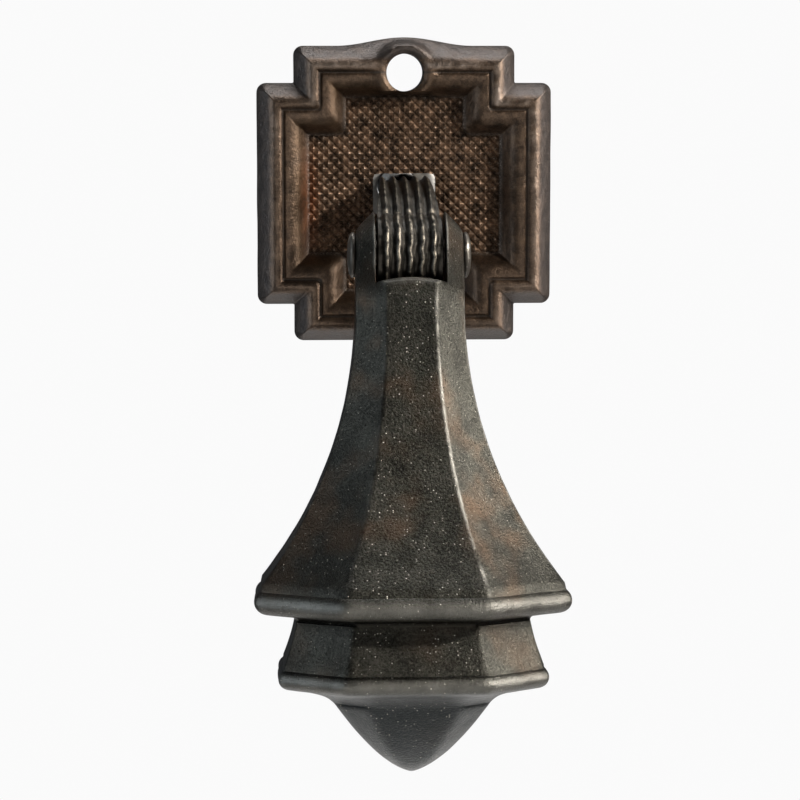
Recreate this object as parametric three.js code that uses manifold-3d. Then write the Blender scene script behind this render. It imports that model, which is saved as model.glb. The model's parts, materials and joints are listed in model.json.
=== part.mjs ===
// A cast-iron drop pull for a cabinet door or a small gate. A stepped square backplate lies against
// the door, an eye bolt passes through it and through the door, and a flared eight-sided drop swings
// on a rivet through the bolt's ribbed eye. A washer and a nut hold the bolt behind the door.
// Millimetres, +Z up, -Y towards the person who pulls. The door's face is the plane y = 0, and the
// origin is where the bolt's axis meets it.
import * as THREE from 'three';
import { mergeVertices } from 'three/addons/utils/BufferGeometryUtils.js';
import Module from 'manifold-3d';

const wasm = await Module();
wasm.setup();

// ---- Driving sizes --------------------------------------------------------------------------

// Backplate: a square with a step out of each corner and a moulded frame round a sunk field.
const PLATE_SIZE = 30;
const PLATE_STEP = 3.75;
const FIELD_THICKNESS = 2.0;
const CREST_HEIGHT = 4.2;
const EDGE_HEIGHT = 1.2;
const FRAME_WIDTH = 5.3;
const CORNER_RADIUS = 0.9;
const NOSE_RADIUS = 1.0;
const SMALLEST_RADIUS = 0.12;
const CROWN_RISE = 0.85;
const CROWN_REACH = 7;
const FIXING_HOLE_DIAMETER = 3.8;
const FIXING_HOLE_EDGE = 0.8;
const BOSS_WALL = 0.95;
const BOSS_ROUNDING = 0.5;
const BOSS_PROUD = 0.05;

// The frame's moulding, as shares: how far in across the frame, how far up to the crest (from the
// edge outside and from the field inside), and how much of the crown it takes.
const MOULDING_OUTSIDE = [
  [0.066, 0.267, 0.95],
  [0.283, 0.917, 0.3],
  [0.358, 1, 0],
  [0.443, 0.983, 0],
  [0.509, 0.833, 0],
  [0.566, 0.9, 0],
  [0.66, 0.867, 0],
];
const MOULDING_INSIDE = [
  [0.774, 0.614, 0.1],
  [0.887, 0.273, 0.3],
];
const FIELD_CROWN_SHARE = 0.45;

// Eye bolt: a ribbed eye, a cranked ribbed neck that fills the plate's slot, and a threaded shank.
const THREAD_DIAMETER = 4;
const PANEL_THICKNESS = 16;
const THREAD_BEYOND_NUT = 1.7;
const THREAD_CHAMFER = 0.5;
const ROOT_TAPER = 0.3;
const PIVOT_OUT = 12;
const PIVOT_DOWN = 5.5;
const EYE_RADIUS = 4.2;
const EYE_WIDTH = 6.4;
const NECK_WIDTH = 5.3;
const NECK_THICKNESS = 3.6;
const NECK_STRAIGHT = 3;
const NECK_CORNER = 0.5;
const RIB_COUNT = 5;
const RIB_DEPTH = 0.45;
const EYE_RIB_PITCH = 1.15;
const NECK_RIB_PITCH = 1.12;
const SLOT_GAP = 0.1;
const SLOT_SIDE_GAP = 0.55;

// Drop: depths are measured down from the pin, and a half is half the distance across the flats.
const EAR_WALL = 1.9;
const LIP_DEPTH = 2.3;
const LIP_ARCH = 0.6;
const LIP_WALL = 0.7;
const WAIST_DEPTH = 5;
const FLARE_DEPTH = 31.9;
const FLARE_HALF = 14.65;
const BELL_BEAD_RADIUS = 1.05;
const BELL_BEAD_DROP = 1.8;
const TIER_TOP_HALF = 11.3;
const TIER_DROP = 0.8;
const TIER_HEIGHT = 4.7;
const TIER_BASE_HALF = 12.6;
const TIER_BEAD_RADIUS = 0.9;
const TIER_BEAD_PROUD = 0.1;
const BEAD_START = 90;
const BEAD_END = -80;
const BELL_COVE_SHARE = 0.7;
const BELL_COVE_OUT = 1.2;
const FINIAL_HALF = 7.7;
const FINIAL_DROP = 1.8;
const FINIAL_HEIGHT = 7.1;
const FINIAL_POWER = 1.65;
const FINIAL_STATIONS = [0.06, 0.16, 0.3, 0.5, 0.7, 0.87, 1];
const FINIAL_COVE_SHARE = 0.35;
const FINIAL_COVE_SINK = 0.4;
const EDGE_SOFTNESS = 0.4;
const BELL_FLAT = 0.46;
const TIER_FLAT = 0.53;
const FINIAL_FLAT = 0.58;

// Pivot pin, washer and nut.
const PIN_DIAMETER = 2.86;
const PIN_HEAD_OVERHANG = 0.87;
const PIN_HEAD_HEIGHT = 0.75;
const PIN_HEAD_RIM_SHARE = 0.25;
const WASHER_DIAMETER = 9;
const WASHER_THICKNESS = 0.8;
const NUT_ACROSS_FLATS = 7;
const NUT_HEIGHT = 3.2;
const NUT_CHAMFER = 0.45;

// Clearances.
const RUNNING_GAP = 0.07;
const EYE_SIDE_GAP = 0.25;
const EYE_FLOOR_GAP = 0.4;
const THREAD_GAP = 0.1;
const WASHER_GAP = 0.15;
const DOOR_GAP = 0.3;

// Fineness of the facets.
const ROUND_STEPS = 48;
const PIN_STEPS = 32;
const CORNER_STEPS = 2;
const CROWN_STEPS = 12;
const RIB_STEPS = 6;
const BEAD_STEPS = 6;
const BEND_STEPS = 12;
const FLARE_STEPS = 12;
const HEAD_STEPS = 4;
const LIP_STEPS = 8;
const CUT_SPARE = 0.02;
const MERGE_DISTANCE = 1e-4;

// ---- Sizes that follow ----------------------------------------------------------------------

const halfPlate = PLATE_SIZE / 2;
const fixingHoleRadius = FIXING_HOLE_DIAMETER / 2;
const fixingHoleUp = halfPlate - FIXING_HOLE_EDGE - fixingHoleRadius;
const slotHalfWidth = NECK_WIDTH / 2 + SLOT_SIDE_GAP;
const shankRadius = THREAD_DIAMETER / 2;
// The bolt goes in from the front, so the slot passes its thread as well as its neck.
const slotHalfHeight = Math.max(NECK_THICKNESS / 2, shankRadius) + SLOT_GAP;

const clevisHalf = EYE_WIDTH / 2 + EYE_SIDE_GAP;
const clevisFloor = EYE_RADIUS + EYE_FLOOR_GAP;
const topHalf = Math.max(clevisHalf + EAR_WALL, clevisFloor + LIP_WALL);

const pinRadius = PIN_DIAMETER / 2;
const boreRadius = pinRadius + RUNNING_GAP;
const headRadius = pinRadius + PIN_HEAD_OVERHANG;

const washerBack = PANEL_THICKNESS + WASHER_THICKNESS;
const threadLength = washerBack + NUT_HEIGHT + THREAD_BEYOND_NUT;

const bellBeadDepth = FLARE_DEPTH + BELL_BEAD_DROP;
const bellBeadHalf = FLARE_HALF - BELL_BEAD_RADIUS / 3;
const bellBottom = bellBeadDepth + BELL_BEAD_RADIUS;
const tierTop = bellBottom + TIER_DROP;
const tierBeadDepth = tierTop + TIER_HEIGHT + TIER_BEAD_RADIUS;
const tierBottom = tierBeadDepth + TIER_BEAD_RADIUS;
const finialTop = tierBottom + FINIAL_DROP;

// The bell's rim rests against the door, so the drop hangs a few degrees off the vertical.
const lean = Math.acos(
  (PIVOT_OUT - BELL_BEAD_RADIUS - DOOR_GAP) / Math.hypot(bellBeadHalf, bellBeadDepth),
) - Math.atan2(bellBeadDepth, bellBeadHalf);

// ---- Helpers --------------------------------------------------------------------------------

// Adds the band of triangles between two rows of points. A closed row joins its end to its start.
function addBand(triangles, lower, upper, closed) {
  const spans = closed ? lower.length : lower.length - 1;
  for (let i = 0; i < spans; i += 1) {
    const j = (i + 1) % lower.length;
    triangles.push([lower[i], lower[j], upper[j]], [lower[i], upper[j], upper[i]]);
  }
}

// Adds the flat end of a loft, facing along the loft when `forward` is true.
function addCap(triangles, ring, flatten, forward) {
  const outline = ring.map(flatten);
  const turn = Math.sign(THREE.ShapeUtils.area(outline));
  for (const [a, b, c] of THREE.ShapeUtils.triangulateShape(outline, [])) {
    const area = THREE.ShapeUtils.area([outline[a], outline[b], outline[c]]);
    const keepOrder = (Math.sign(area) === turn) === forward;
    triangles.push(keepOrder ? [ring[a], ring[b], ring[c]] : [ring[a], ring[c], ring[b]]);
  }
}

// A geometry from triangles given as threes of points.
function geometryOf(triangles) {
  const numbers = triangles.flatMap((corners) => corners.flatMap((point) => point.toArray()));
  const geometry = new THREE.BufferGeometry();
  geometry.setAttribute('position', new THREE.Float32BufferAttribute(numbers, 3));
  return geometry;
}

// A closed shell through rings of points that run counter-clockwise round the loft's direction.
function loft(rings, flatten) {
  const triangles = [];
  for (let i = 0; i + 1 < rings.length; i += 1) {
    addBand(triangles, rings[i], rings[i + 1], true);
  }
  addCap(triangles, rings[0], flatten, false);
  addCap(triangles, rings[rings.length - 1], flatten, true);
  return geometryOf(triangles);
}

// A solid for joining and cutting, made from a closed geometry.
function toSolid(geometry) {
  const shell = geometry.clone();
  shell.deleteAttribute('normal');
  shell.deleteAttribute('uv');
  const merged = mergeVertices(shell, MERGE_DISTANCE);
  const index = merged.index.array;
  const faces = [];
  for (let i = 0; i < index.length; i += 3) {
    const [a, b, c] = index.slice(i, i + 3);
    if (a !== b && b !== c && c !== a) {
      faces.push(a, b, c);
    }
  }
  return new wasm.Manifold(new wasm.Mesh({
    numProp: 3,
    vertProperties: new Float32Array(merged.attributes.position.array),
    triVerts: new Uint32Array(faces),
  }));
}

function toGeometry(solid) {
  const { vertProperties, triVerts } = solid.getMesh();
  const geometry = new THREE.BufferGeometry();
  geometry.setAttribute('position', new THREE.BufferAttribute(vertProperties, 3));
  geometry.setIndex(new THREE.BufferAttribute(triVerts, 1));
  geometry.computeVertexNormals();
  return geometry;
}

// Turned shapes: each takes [radius, distance along the axis] pairs that start and end on the axis.
function turned(profile, steps) {
  return new THREE.LatheGeometry(profile.map(([r, along]) => new THREE.Vector2(r, along)), steps);
}

function turnedAboutX(profile, steps) {
  return turned(profile, steps).rotateZ(-Math.PI / 2);
}

function turnedAboutY(profile, steps) {
  return turned(profile, steps);
}

function rod(radius, from, to) {
  return [[0, from], [radius, from], [radius, to], [0, to]];
}

// Points of an arc: centre, radius and the angles in degrees of its ends.
function arc(across, along, radius, start, end, steps) {
  const points = [];
  for (let i = 0; i <= steps; i += 1) {
    const angle = THREE.MathUtils.degToRad(THREE.MathUtils.lerp(start, end, i / steps));
    points.push([across + radius * Math.cos(angle), along + radius * Math.sin(angle)]);
  }
  return points;
}

// Rounds one corner of an outline, keeping the same number of points at any radius.
function roundCorner(before, corner, after, radius, steps) {
  const toBefore = before.clone().sub(corner).normalize();
  const toAfter = after.clone().sub(corner).normalize();
  const halfTurn = Math.acos(THREE.MathUtils.clamp(toBefore.dot(toAfter), -1, 1)) / 2;
  const inward = toBefore.clone().add(toAfter).normalize();
  const centre = corner.clone().addScaledVector(inward, radius / Math.sin(halfTurn));
  const first = corner.clone().addScaledVector(toBefore, radius / Math.tan(halfTurn)).sub(centre);
  const last = corner.clone().addScaledVector(toAfter, radius / Math.tan(halfTurn)).sub(centre);
  const sweep = Math.atan2(first.cross(last), first.dot(last));
  const origin = new THREE.Vector2();
  const points = [];
  for (let i = 0; i <= steps; i += 1) {
    points.push(first.clone().rotateAround(origin, (sweep * i) / steps).add(centre));
  }
  return points;
}

// ---- Backplate ------------------------------------------------------------------------------

// How far the outline's top edge crowns upwards at a place across it.
function crown(across) {
  if (Math.abs(across) >= CROWN_REACH) {
    return 0;
  }
  return (CROWN_RISE / 2) * (1 + Math.cos((Math.PI * across) / CROWN_REACH));
}

// The stepped square, drawn `inset` inside the plate's edge: four quarters of three corners each,
// and the top edge's crown taken by the share `rise`.
function plateOutline(inset, rise) {
  const arm = halfPlate - inset;
  const shoulder = halfPlate - PLATE_STEP - inset;
  const outer = Math.max(SMALLEST_RADIUS, CORNER_RADIUS - inset);
  const nose = Math.max(SMALLEST_RADIUS, (NOSE_RADIUS * inset) / FRAME_WIDTH);
  const origin = new THREE.Vector2();
  const corners = [];
  for (let quarter = 0; quarter < 4; quarter += 1) {
    for (const [x, z, radius] of [
      [arm, shoulder, outer],
      [shoulder, shoulder, nose],
      [shoulder, arm, outer],
    ]) {
      const point = new THREE.Vector2(x, z).rotateAround(origin, (quarter * Math.PI) / 2);
      corners.push({ point, radius });
    }
  }
  const outline = [];
  corners.forEach(({ point, radius }, i) => {
    const before = corners[(i + corners.length - 1) % corners.length].point;
    const after = corners[(i + 1) % corners.length].point;
    outline.push(...roundCorner(before, point, after, radius, CORNER_STEPS));
    const topEdgeStartsHere = i === 2;
    if (topEdgeStartsHere) {
      for (let step = 1; step < CROWN_STEPS; step += 1) {
        const x = shoulder * (1 - (2 * step) / CROWN_STEPS) * (1 - outer / shoulder);
        outline.push(new THREE.Vector2(x, arm + rise * crown(x)));
      }
    }
  });
  return outline;
}

// The frame's moulding from the back of its edge to the field: how far in, how high, and how much
// of the crown it takes.
function frameProfile() {
  const from = (low) => ([across, up, rise]) => ({
    inset: across * FRAME_WIDTH,
    height: THREE.MathUtils.lerp(low, CREST_HEIGHT, up),
    rise,
  });
  return [
    { inset: 0, height: 0, rise: 1 },
    { inset: 0, height: EDGE_HEIGHT, rise: 1 },
    ...MOULDING_OUTSIDE.map(from(EDGE_HEIGHT)),
    ...MOULDING_INSIDE.map(from(FIELD_THICKNESS)),
    { inset: FRAME_WIDTH, height: FIELD_THICKNESS, rise: FIELD_CROWN_SHARE },
  ];
}

function backplateGeometry() {
  const rings = frameProfile().map(({ inset, height, rise }) => (
    plateOutline(inset, rise).map((point) => new THREE.Vector3(point.x, -height, point.y))
  ));
  const blank = toSolid(loft(rings, (point) => new THREE.Vector2(point.x, point.z)));

  // A round boss carries the fixing hole through the frame's top.
  const bossRadius = fixingHoleRadius + BOSS_WALL;
  const bossTop = CREST_HEIGHT + BOSS_PROUD;
  const flatRadius = bossRadius - BOSS_ROUNDING;
  const bossProfile = [
    [0, -bossTop],
    [flatRadius, -bossTop],
    ...arc(flatRadius, BOSS_ROUNDING - bossTop, BOSS_ROUNDING, -60, 0, CORNER_STEPS),
    [bossRadius, -EDGE_HEIGHT],
    [0, -EDGE_HEIGHT],
  ];
  const boss = turnedAboutY(bossProfile, ROUND_STEPS).translate(0, 0, fixingHoleUp);
  const hole = turnedAboutY(rod(fixingHoleRadius, -2 * CREST_HEIGHT, CREST_HEIGHT), ROUND_STEPS)
    .translate(0, 0, fixingHoleUp);
  const slot = new THREE.BoxGeometry(2 * slotHalfWidth, 4 * CREST_HEIGHT, 2 * slotHalfHeight);
  return toGeometry(
    blank.add(toSolid(boss)).subtract(toSolid(hole)).subtract(toSolid(slot)),
  );
}

// ---- Eye bolt -------------------------------------------------------------------------------

// How far a ribbed surface lies below its crests at a place across the ribs.
function ribSink(across, pitch) {
  if (Math.abs(across) >= (RIB_COUNT * pitch) / 2) {
    return RIB_DEPTH;
  }
  return RIB_DEPTH * (1 - Math.abs(Math.cos((Math.PI * across) / pitch)));
}

// Places across a ribbed surface, from one edge of its ribs to the other.
function ribStations(pitch) {
  const count = RIB_COUNT * RIB_STEPS;
  return Array.from({ length: count + 1 }, (_, i) => (RIB_COUNT * pitch * (i / count - 0.5)));
}

function eyeGeometry() {
  const halfWidth = EYE_WIDTH / 2;
  const shoulder = EYE_RADIUS - RIB_DEPTH;
  return turnedAboutX([
    [0, -halfWidth],
    [shoulder, -halfWidth],
    ...ribStations(EYE_RIB_PITCH).map((x) => [EYE_RADIUS - ribSink(x, EYE_RIB_PITCH), x]),
    [shoulder, halfWidth],
    [0, halfWidth],
  ], ROUND_STEPS);
}

// The neck's section, counter-clockwise: plain sides and underside, ribs along the top.
function neckSection() {
  const half = NECK_WIDTH / 2;
  const low = -NECK_THICKNESS / 2;
  const high = NECK_THICKNESS / 2;
  const ribs = ribStations(NECK_RIB_PITCH).filter((x) => Math.abs(x) < half - SMALLEST_RADIUS);
  return [
    [-half, low + NECK_CORNER],
    [-half + NECK_CORNER, low],
    [half - NECK_CORNER, low],
    [half, low + NECK_CORNER],
    [half, high - RIB_DEPTH],
    ...ribs.reverse().map((x) => [x, high - ribSink(x, NECK_RIB_PITCH)]),
    [-half, high - RIB_DEPTH],
  ];
}

// The neck leaves the door along the bolt's axis, then bends down on one arc to the eye's centre.
function neckGeometry() {
  const reach = PIVOT_OUT - NECK_STRAIGHT;
  const bend = (reach * reach + PIVOT_DOWN * PIVOT_DOWN) / (2 * PIVOT_DOWN);
  const fullTurn = Math.asin(Math.min(1, reach / bend));
  const stations = [{ y: 0, z: 0, turn: 0 }];
  for (let i = 0; i <= BEND_STEPS; i += 1) {
    const turn = (fullTurn * i) / BEND_STEPS;
    stations.push({
      y: -NECK_STRAIGHT - bend * Math.sin(turn),
      z: -bend * (1 - Math.cos(turn)),
      turn,
    });
  }
  const section = neckSection();
  const rings = stations.map(({ y, z, turn }) => section.map(([across, up]) => (
    new THREE.Vector3(across, y - up * Math.sin(turn), z + up * Math.cos(turn))
  )));
  return loft(rings, (point) => new THREE.Vector2(point.x, point.z));
}

function eyeBoltGeometry() {
  const shank = turnedAboutY([
    [0, -ROOT_TAPER],
    [shankRadius - ROOT_TAPER, -ROOT_TAPER],
    [shankRadius, 0],
    [shankRadius, threadLength - THREAD_CHAMFER],
    [shankRadius - THREAD_CHAMFER, threadLength],
    [0, threadLength],
  ], ROUND_STEPS);
  const bore = turnedAboutX(rod(boreRadius, -EYE_WIDTH, EYE_WIDTH), ROUND_STEPS)
    .translate(0, -PIVOT_OUT, -PIVOT_DOWN);
  const eye = eyeGeometry().translate(0, -PIVOT_OUT, -PIVOT_DOWN);
  return toGeometry(
    toSolid(neckGeometry()).add(toSolid(eye)).add(toSolid(shank)).subtract(toSolid(bore)),
  );
}

// ---- Drop -----------------------------------------------------------------------------------

// An eight-sided section with softened edges, counter-clockwise from the middle of its right side.
// `flat` is the share of the full width that the four main sides take.
function dropSection(half, flat, softness) {
  const corners = [];
  for (let quarter = 0; quarter < 4; quarter += 1) {
    for (const [x, y] of [[half, flat * half], [flat * half, half]]) {
      corners.push(new THREE.Vector2(x, y).rotateAround(new THREE.Vector2(), (quarter * Math.PI) / 2));
    }
  }
  const section = [new THREE.Vector2(half, 0)];
  corners.forEach((corner, i) => {
    const before = corners[(i + corners.length - 1) % corners.length];
    const after = corners[(i + 1) % corners.length];
    section.push(...roundCorner(before, corner, after, softness, CORNER_STEPS));
    if (i === corners.length / 2 - 1) {
      section.push(new THREE.Vector2(-half, 0));
    }
  });
  return section;
}

// The drop's profile from the finial's tip up to the pin: depth, half width, flat share, softness.
function dropProfile() {
  const profile = [];
  const add = (depth, half, flat) => {
    profile.push({ depth, half, flat, softness: Math.min(EDGE_SOFTNESS, half / 3) });
  };
  const addBead = (half, depth, radius, flat) => {
    arc(half, depth, radius, BEAD_START, BEAD_END, BEAD_STEPS).forEach(([across, along]) => {
      add(along, across, flat);
    });
  };

  // The finial: a rounded tip on a cone, which widens into a cove below the tier.
  const tipDepth = finialTop + FINIAL_HEIGHT;
  FINIAL_STATIONS.forEach((share) => {
    add(tipDepth - FINIAL_HEIGHT * share ** FINIAL_POWER, FINIAL_HALF * share, FINIAL_FLAT);
  });
  const coveHalf = (FINIAL_HALF + TIER_BASE_HALF) / 2 - FINIAL_COVE_SINK;
  add(tierBottom + FINIAL_DROP * FINIAL_COVE_SHARE, coveHalf, TIER_FLAT);

  // The second tier with its bead.
  addBead(TIER_BASE_HALF - TIER_BEAD_RADIUS / 2, tierBeadDepth, TIER_BEAD_RADIUS, TIER_FLAT);
  const wallHalf = TIER_BASE_HALF - TIER_BEAD_PROUD;
  add(tierTop + TIER_HEIGHT - TIER_BEAD_PROUD, wallHalf, TIER_FLAT);
  add(tierTop, TIER_TOP_HALF, TIER_FLAT);

  // The bell with its bead, then its flare: one arc that leaves the waist upright.
  add(tierTop - TIER_DROP * BELL_COVE_SHARE, TIER_TOP_HALF + BELL_COVE_OUT, BELL_FLAT);
  addBead(bellBeadHalf, bellBeadDepth, BELL_BEAD_RADIUS, BELL_FLAT);
  const flareRun = FLARE_DEPTH - WAIST_DEPTH;
  const flareOut = FLARE_HALF - topHalf;
  const flareRadius = (flareRun * flareRun + flareOut * flareOut) / (2 * flareOut);
  const flareTurn = Math.asin(flareRun / flareRadius);
  for (let i = FLARE_STEPS; i >= 0; i -= 1) {
    const turn = (flareTurn * i) / FLARE_STEPS;
    const depth = WAIST_DEPTH + flareRadius * Math.sin(turn);
    add(depth, topHalf + flareRadius * (1 - Math.cos(turn)), BELL_FLAT);
  }
  add(0, topHalf, BELL_FLAT);
  return profile;
}

// Above the pin the section is turned about the pin's axis, which rounds the ears and carries the
// bell's bevels over their tops.
function dropBlank() {
  const rings = dropProfile().map(({ depth, half, flat, softness }) => (
    dropSection(half, flat, softness).map((point) => new THREE.Vector3(point.x, point.y, -depth))
  ));
  const triangles = [];
  addCap(triangles, rings[0], (point) => new THREE.Vector2(point.x, point.y), false);
  for (let i = 0; i + 1 < rings.length; i += 1) {
    addBand(triangles, rings[i], rings[i + 1], true);
  }
  const topRing = rings[rings.length - 1];
  const backHalf = topRing.slice(0, topRing.length / 2 + 1);
  const turnSteps = ROUND_STEPS / 2;
  const turnedHalf = (step) => {
    const angle = (Math.PI * step) / turnSteps;
    return backHalf.map(({ x, y }) => new THREE.Vector3(x, y * Math.cos(angle), y * Math.sin(angle)));
  };
  for (let step = 0; step < turnSteps; step += 1) {
    addBand(triangles, turnedHalf(step), turnedHalf(step + 1), false);
  }
  return geometryOf(triangles);
}

// The gap between the ears, open upwards, with a lip that arches in the middle front and back.
function clevisCutter() {
  const top = 2 * topHalf;
  const outline = new THREE.Shape();
  outline.moveTo(-clevisHalf, top);
  outline.lineTo(-clevisHalf, -LIP_DEPTH - LIP_ARCH);
  outline.quadraticCurveTo(0, -LIP_DEPTH + LIP_ARCH, clevisHalf, -LIP_DEPTH - LIP_ARCH);
  outline.lineTo(clevisHalf, top);
  const passage = new THREE.ExtrudeGeometry(outline, {
    depth: 4 * topHalf,
    bevelEnabled: false,
    curveSegments: LIP_STEPS,
  });
  passage.rotateX(Math.PI / 2).translate(0, 2 * topHalf, 0);
  const floor = turnedAboutX(rod(clevisFloor, -clevisHalf, clevisHalf), ROUND_STEPS);
  return toSolid(passage).add(toSolid(floor));
}

function dropGeometry() {
  const bore = turnedAboutX(rod(boreRadius, -2 * topHalf, 2 * topHalf), ROUND_STEPS);
  return toGeometry(toSolid(dropBlank()).subtract(clevisCutter()).subtract(toSolid(bore)));
}

// ---- Pin, washer and nut --------------------------------------------------------------------

function pinGeometry() {
  const head = (side) => {
    const dome = [];
    for (let i = 0; i <= HEAD_STEPS; i += 1) {
      const angle = (Math.PI / 2) * (1 - i / HEAD_STEPS);
      const share = THREE.MathUtils.lerp(PIN_HEAD_RIM_SHARE, 1, Math.sin(angle));
      dome.push([headRadius * Math.cos(angle), side * (topHalf + PIN_HEAD_HEIGHT * share)]);
    }
    dome.push([headRadius, side * topHalf], [pinRadius, side * topHalf]);
    return dome;
  };
  return turnedAboutX([...head(-1), ...head(1).reverse()], PIN_STEPS);
}

function ringGeometry(innerRadius, outline, from, to) {
  const bore = turnedAboutY(rod(innerRadius, from - 1, to + 1), ROUND_STEPS);
  return toGeometry(toSolid(outline).subtract(toSolid(bore)));
}

function washerGeometry() {
  const disc = turnedAboutY(rod(WASHER_DIAMETER / 2, PANEL_THICKNESS, washerBack), ROUND_STEPS);
  return ringGeometry(shankRadius + WASHER_GAP, disc, PANEL_THICKNESS, washerBack);
}

function nutGeometry() {
  const cornerRadius = NUT_ACROSS_FLATS / Math.sqrt(3);
  const nutBack = washerBack + NUT_HEIGHT;
  const prism = turnedAboutY(rod(cornerRadius, washerBack, nutBack), 6);
  const cone = turnedAboutY([
    [0, washerBack - CUT_SPARE],
    [NUT_ACROSS_FLATS / 2, washerBack - CUT_SPARE],
    [cornerRadius + CUT_SPARE, washerBack + NUT_CHAMFER],
    [cornerRadius + CUT_SPARE, nutBack - NUT_CHAMFER],
    [NUT_ACROSS_FLATS / 2, nutBack + CUT_SPARE],
    [0, nutBack + CUT_SPARE],
  ], ROUND_STEPS);
  const hexagon = toGeometry(toSolid(prism).intersect(toSolid(cone)));
  return ringGeometry(shankRadius + THREAD_GAP, hexagon, washerBack, nutBack);
}

// ---- Assembly -------------------------------------------------------------------------------

const materials = {
  plateIron: new THREE.MeshStandardMaterial({ color: 0x4a3a30, roughness: 0.5, metalness: 0.85 }),
  dropIron: new THREE.MeshStandardMaterial({ color: 0x3b3832, roughness: 0.48, metalness: 0.85 }),
  boltIron: new THREE.MeshStandardMaterial({ color: 0x2a2724, roughness: 0.4, metalness: 0.9 }),
  steel: new THREE.MeshStandardMaterial({ color: 0x6d6a66, roughness: 0.4, metalness: 0.95 }),
};

function named(name, geometry, material) {
  const mesh = new THREE.Mesh(geometry, material);
  mesh.name = name;
  return mesh;
}

const dropPull = new THREE.Group();

const fixedParts = new THREE.Group();
fixedParts.add(
  named('backplate', backplateGeometry(), materials.plateIron),
  named('eye_bolt', eyeBoltGeometry(), materials.boltIron),
  named('washer', washerGeometry(), materials.steel),
  named('hex_nut', nutGeometry(), materials.steel),
);

const swingingParts = new THREE.Group();
swingingParts.position.set(0, -PIVOT_OUT, -PIVOT_DOWN);
swingingParts.rotation.x = -lean;
swingingParts.add(
  named('drop', dropGeometry(), materials.dropIron),
  named('pivot_pin', pinGeometry(), materials.steel),
);

dropPull.add(fixedParts, swingingParts);

export default dropPull;
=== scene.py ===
"""Looks for a cast-iron drop pull: stepped backplate, ribbed eye bolt and a flared swinging drop.

Shapes are worked out in millimetres and written to their meshes in metres. Each surface is a
formula on a grid of two parameters, given in its function's docstring.
"""

import json
import math
from types import SimpleNamespace

import bmesh
import bpy
import numpy as np
from bpy.props import FloatProperty, FloatVectorProperty, PointerProperty
from mathutils import Matrix, Vector


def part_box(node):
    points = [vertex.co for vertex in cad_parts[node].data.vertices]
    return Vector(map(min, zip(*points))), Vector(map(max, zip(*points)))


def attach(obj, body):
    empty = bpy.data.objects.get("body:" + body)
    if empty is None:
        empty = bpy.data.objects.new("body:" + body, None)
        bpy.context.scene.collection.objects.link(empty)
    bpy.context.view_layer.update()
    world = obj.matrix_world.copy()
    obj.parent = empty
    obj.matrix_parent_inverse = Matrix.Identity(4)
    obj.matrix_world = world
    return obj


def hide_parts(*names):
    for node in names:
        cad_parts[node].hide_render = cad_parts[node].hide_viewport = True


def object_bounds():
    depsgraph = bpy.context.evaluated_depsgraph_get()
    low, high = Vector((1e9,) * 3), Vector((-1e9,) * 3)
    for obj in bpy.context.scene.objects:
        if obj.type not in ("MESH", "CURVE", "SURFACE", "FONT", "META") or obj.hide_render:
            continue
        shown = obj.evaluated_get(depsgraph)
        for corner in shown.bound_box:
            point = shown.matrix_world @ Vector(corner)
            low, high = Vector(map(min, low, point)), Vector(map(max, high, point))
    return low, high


bl_info = {
    "name": "Drop pull looks",
    "version": (1, 0, 0),
    "blender": (4, 5, 0),
    "location": "3D View > Sidebar > Drop pull",
    "description": "Makes a cast-iron drop pull's visible pieces, materials, floor and light",
    "category": "Add Mesh",
}

MM = 0.001
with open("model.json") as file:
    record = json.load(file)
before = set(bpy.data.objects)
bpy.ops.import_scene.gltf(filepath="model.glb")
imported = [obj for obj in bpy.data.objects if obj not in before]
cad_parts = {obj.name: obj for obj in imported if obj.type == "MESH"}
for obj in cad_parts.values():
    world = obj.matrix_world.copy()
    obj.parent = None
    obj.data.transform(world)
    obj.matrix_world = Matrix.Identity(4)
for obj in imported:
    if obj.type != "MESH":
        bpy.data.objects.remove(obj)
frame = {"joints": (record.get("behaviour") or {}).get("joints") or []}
cad_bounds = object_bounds()

plate_low, plate_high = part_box("backplate")
bolt_low, bolt_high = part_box("eye_bolt")
washer_low, washer_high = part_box("washer")
nut_low, nut_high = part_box("hex_nut")
pin_low, pin_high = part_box("pivot_pin")
pivot = np.array(frame["joints"][0]["pos_m"])
pivot_out, pivot_down = -pivot[1] / MM, -pivot[2] / MM


# ---- Fixed measures of the castings, in millimetres ----

# Insets from the plate's outline
CREST_INSET = 1.90
GROOVE_INSET = 2.66
INNER_WALL_INSET = 4.3

# The plate's corners, crown, fixing hole and diamonds
SHARPEST_CORNER = 0.14
OUTER_CORNER = 0.95
NOSE_CORNER = 1.15
CROWN_REACH = 7
HOLE_BELOW_EDGE = 0.8
DISH_DEPTH = 0.3
FIELD_REACH = 10.4
FALLING_GROOVE = 0.40
CLIMBING_GROOVE = 0.36
POINT_WEAR = 0.10
STEPS_PER_HALF_DIAMOND = 4

# The eye bolt
RIBS = 5
THREAD_DEPTH = 0.43
THREAD_POINT = 0.5
SHANK_IN_NECK = 0.3
NECK_SIDE = 0.45

# The drop: heights from level to level, and half widths
PIN_TO_FLARE = 5
EAR_HEIGHT = 4.6
FLARE_TO_BEAD = 1.8
TIER_GAP = 0.8
TIER_WALL = 4.7
COVE_HEIGHT = 1.8
FINIAL_HEIGHT = 7.1
TIER_HALF = 12.6
TIER_TOP_HALF = 11.3
FINIAL_HALF = 7.55
BEAD_SWELL = 0.17
TIER_BEAD_SWELL = 0.12
DOOR_GAP = 0.3
MOUTH_FLARE = 0.3

# The drop's outlines: 0.41 is a regular octagon, and more makes the four corner sides narrower
BELL_FLAT = 0.46
UNDER_FLAT = 0.49
TIER_FLAT = 0.53
COVE_FLAT = 0.55
FINIAL_FLAT = 0.58

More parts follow.
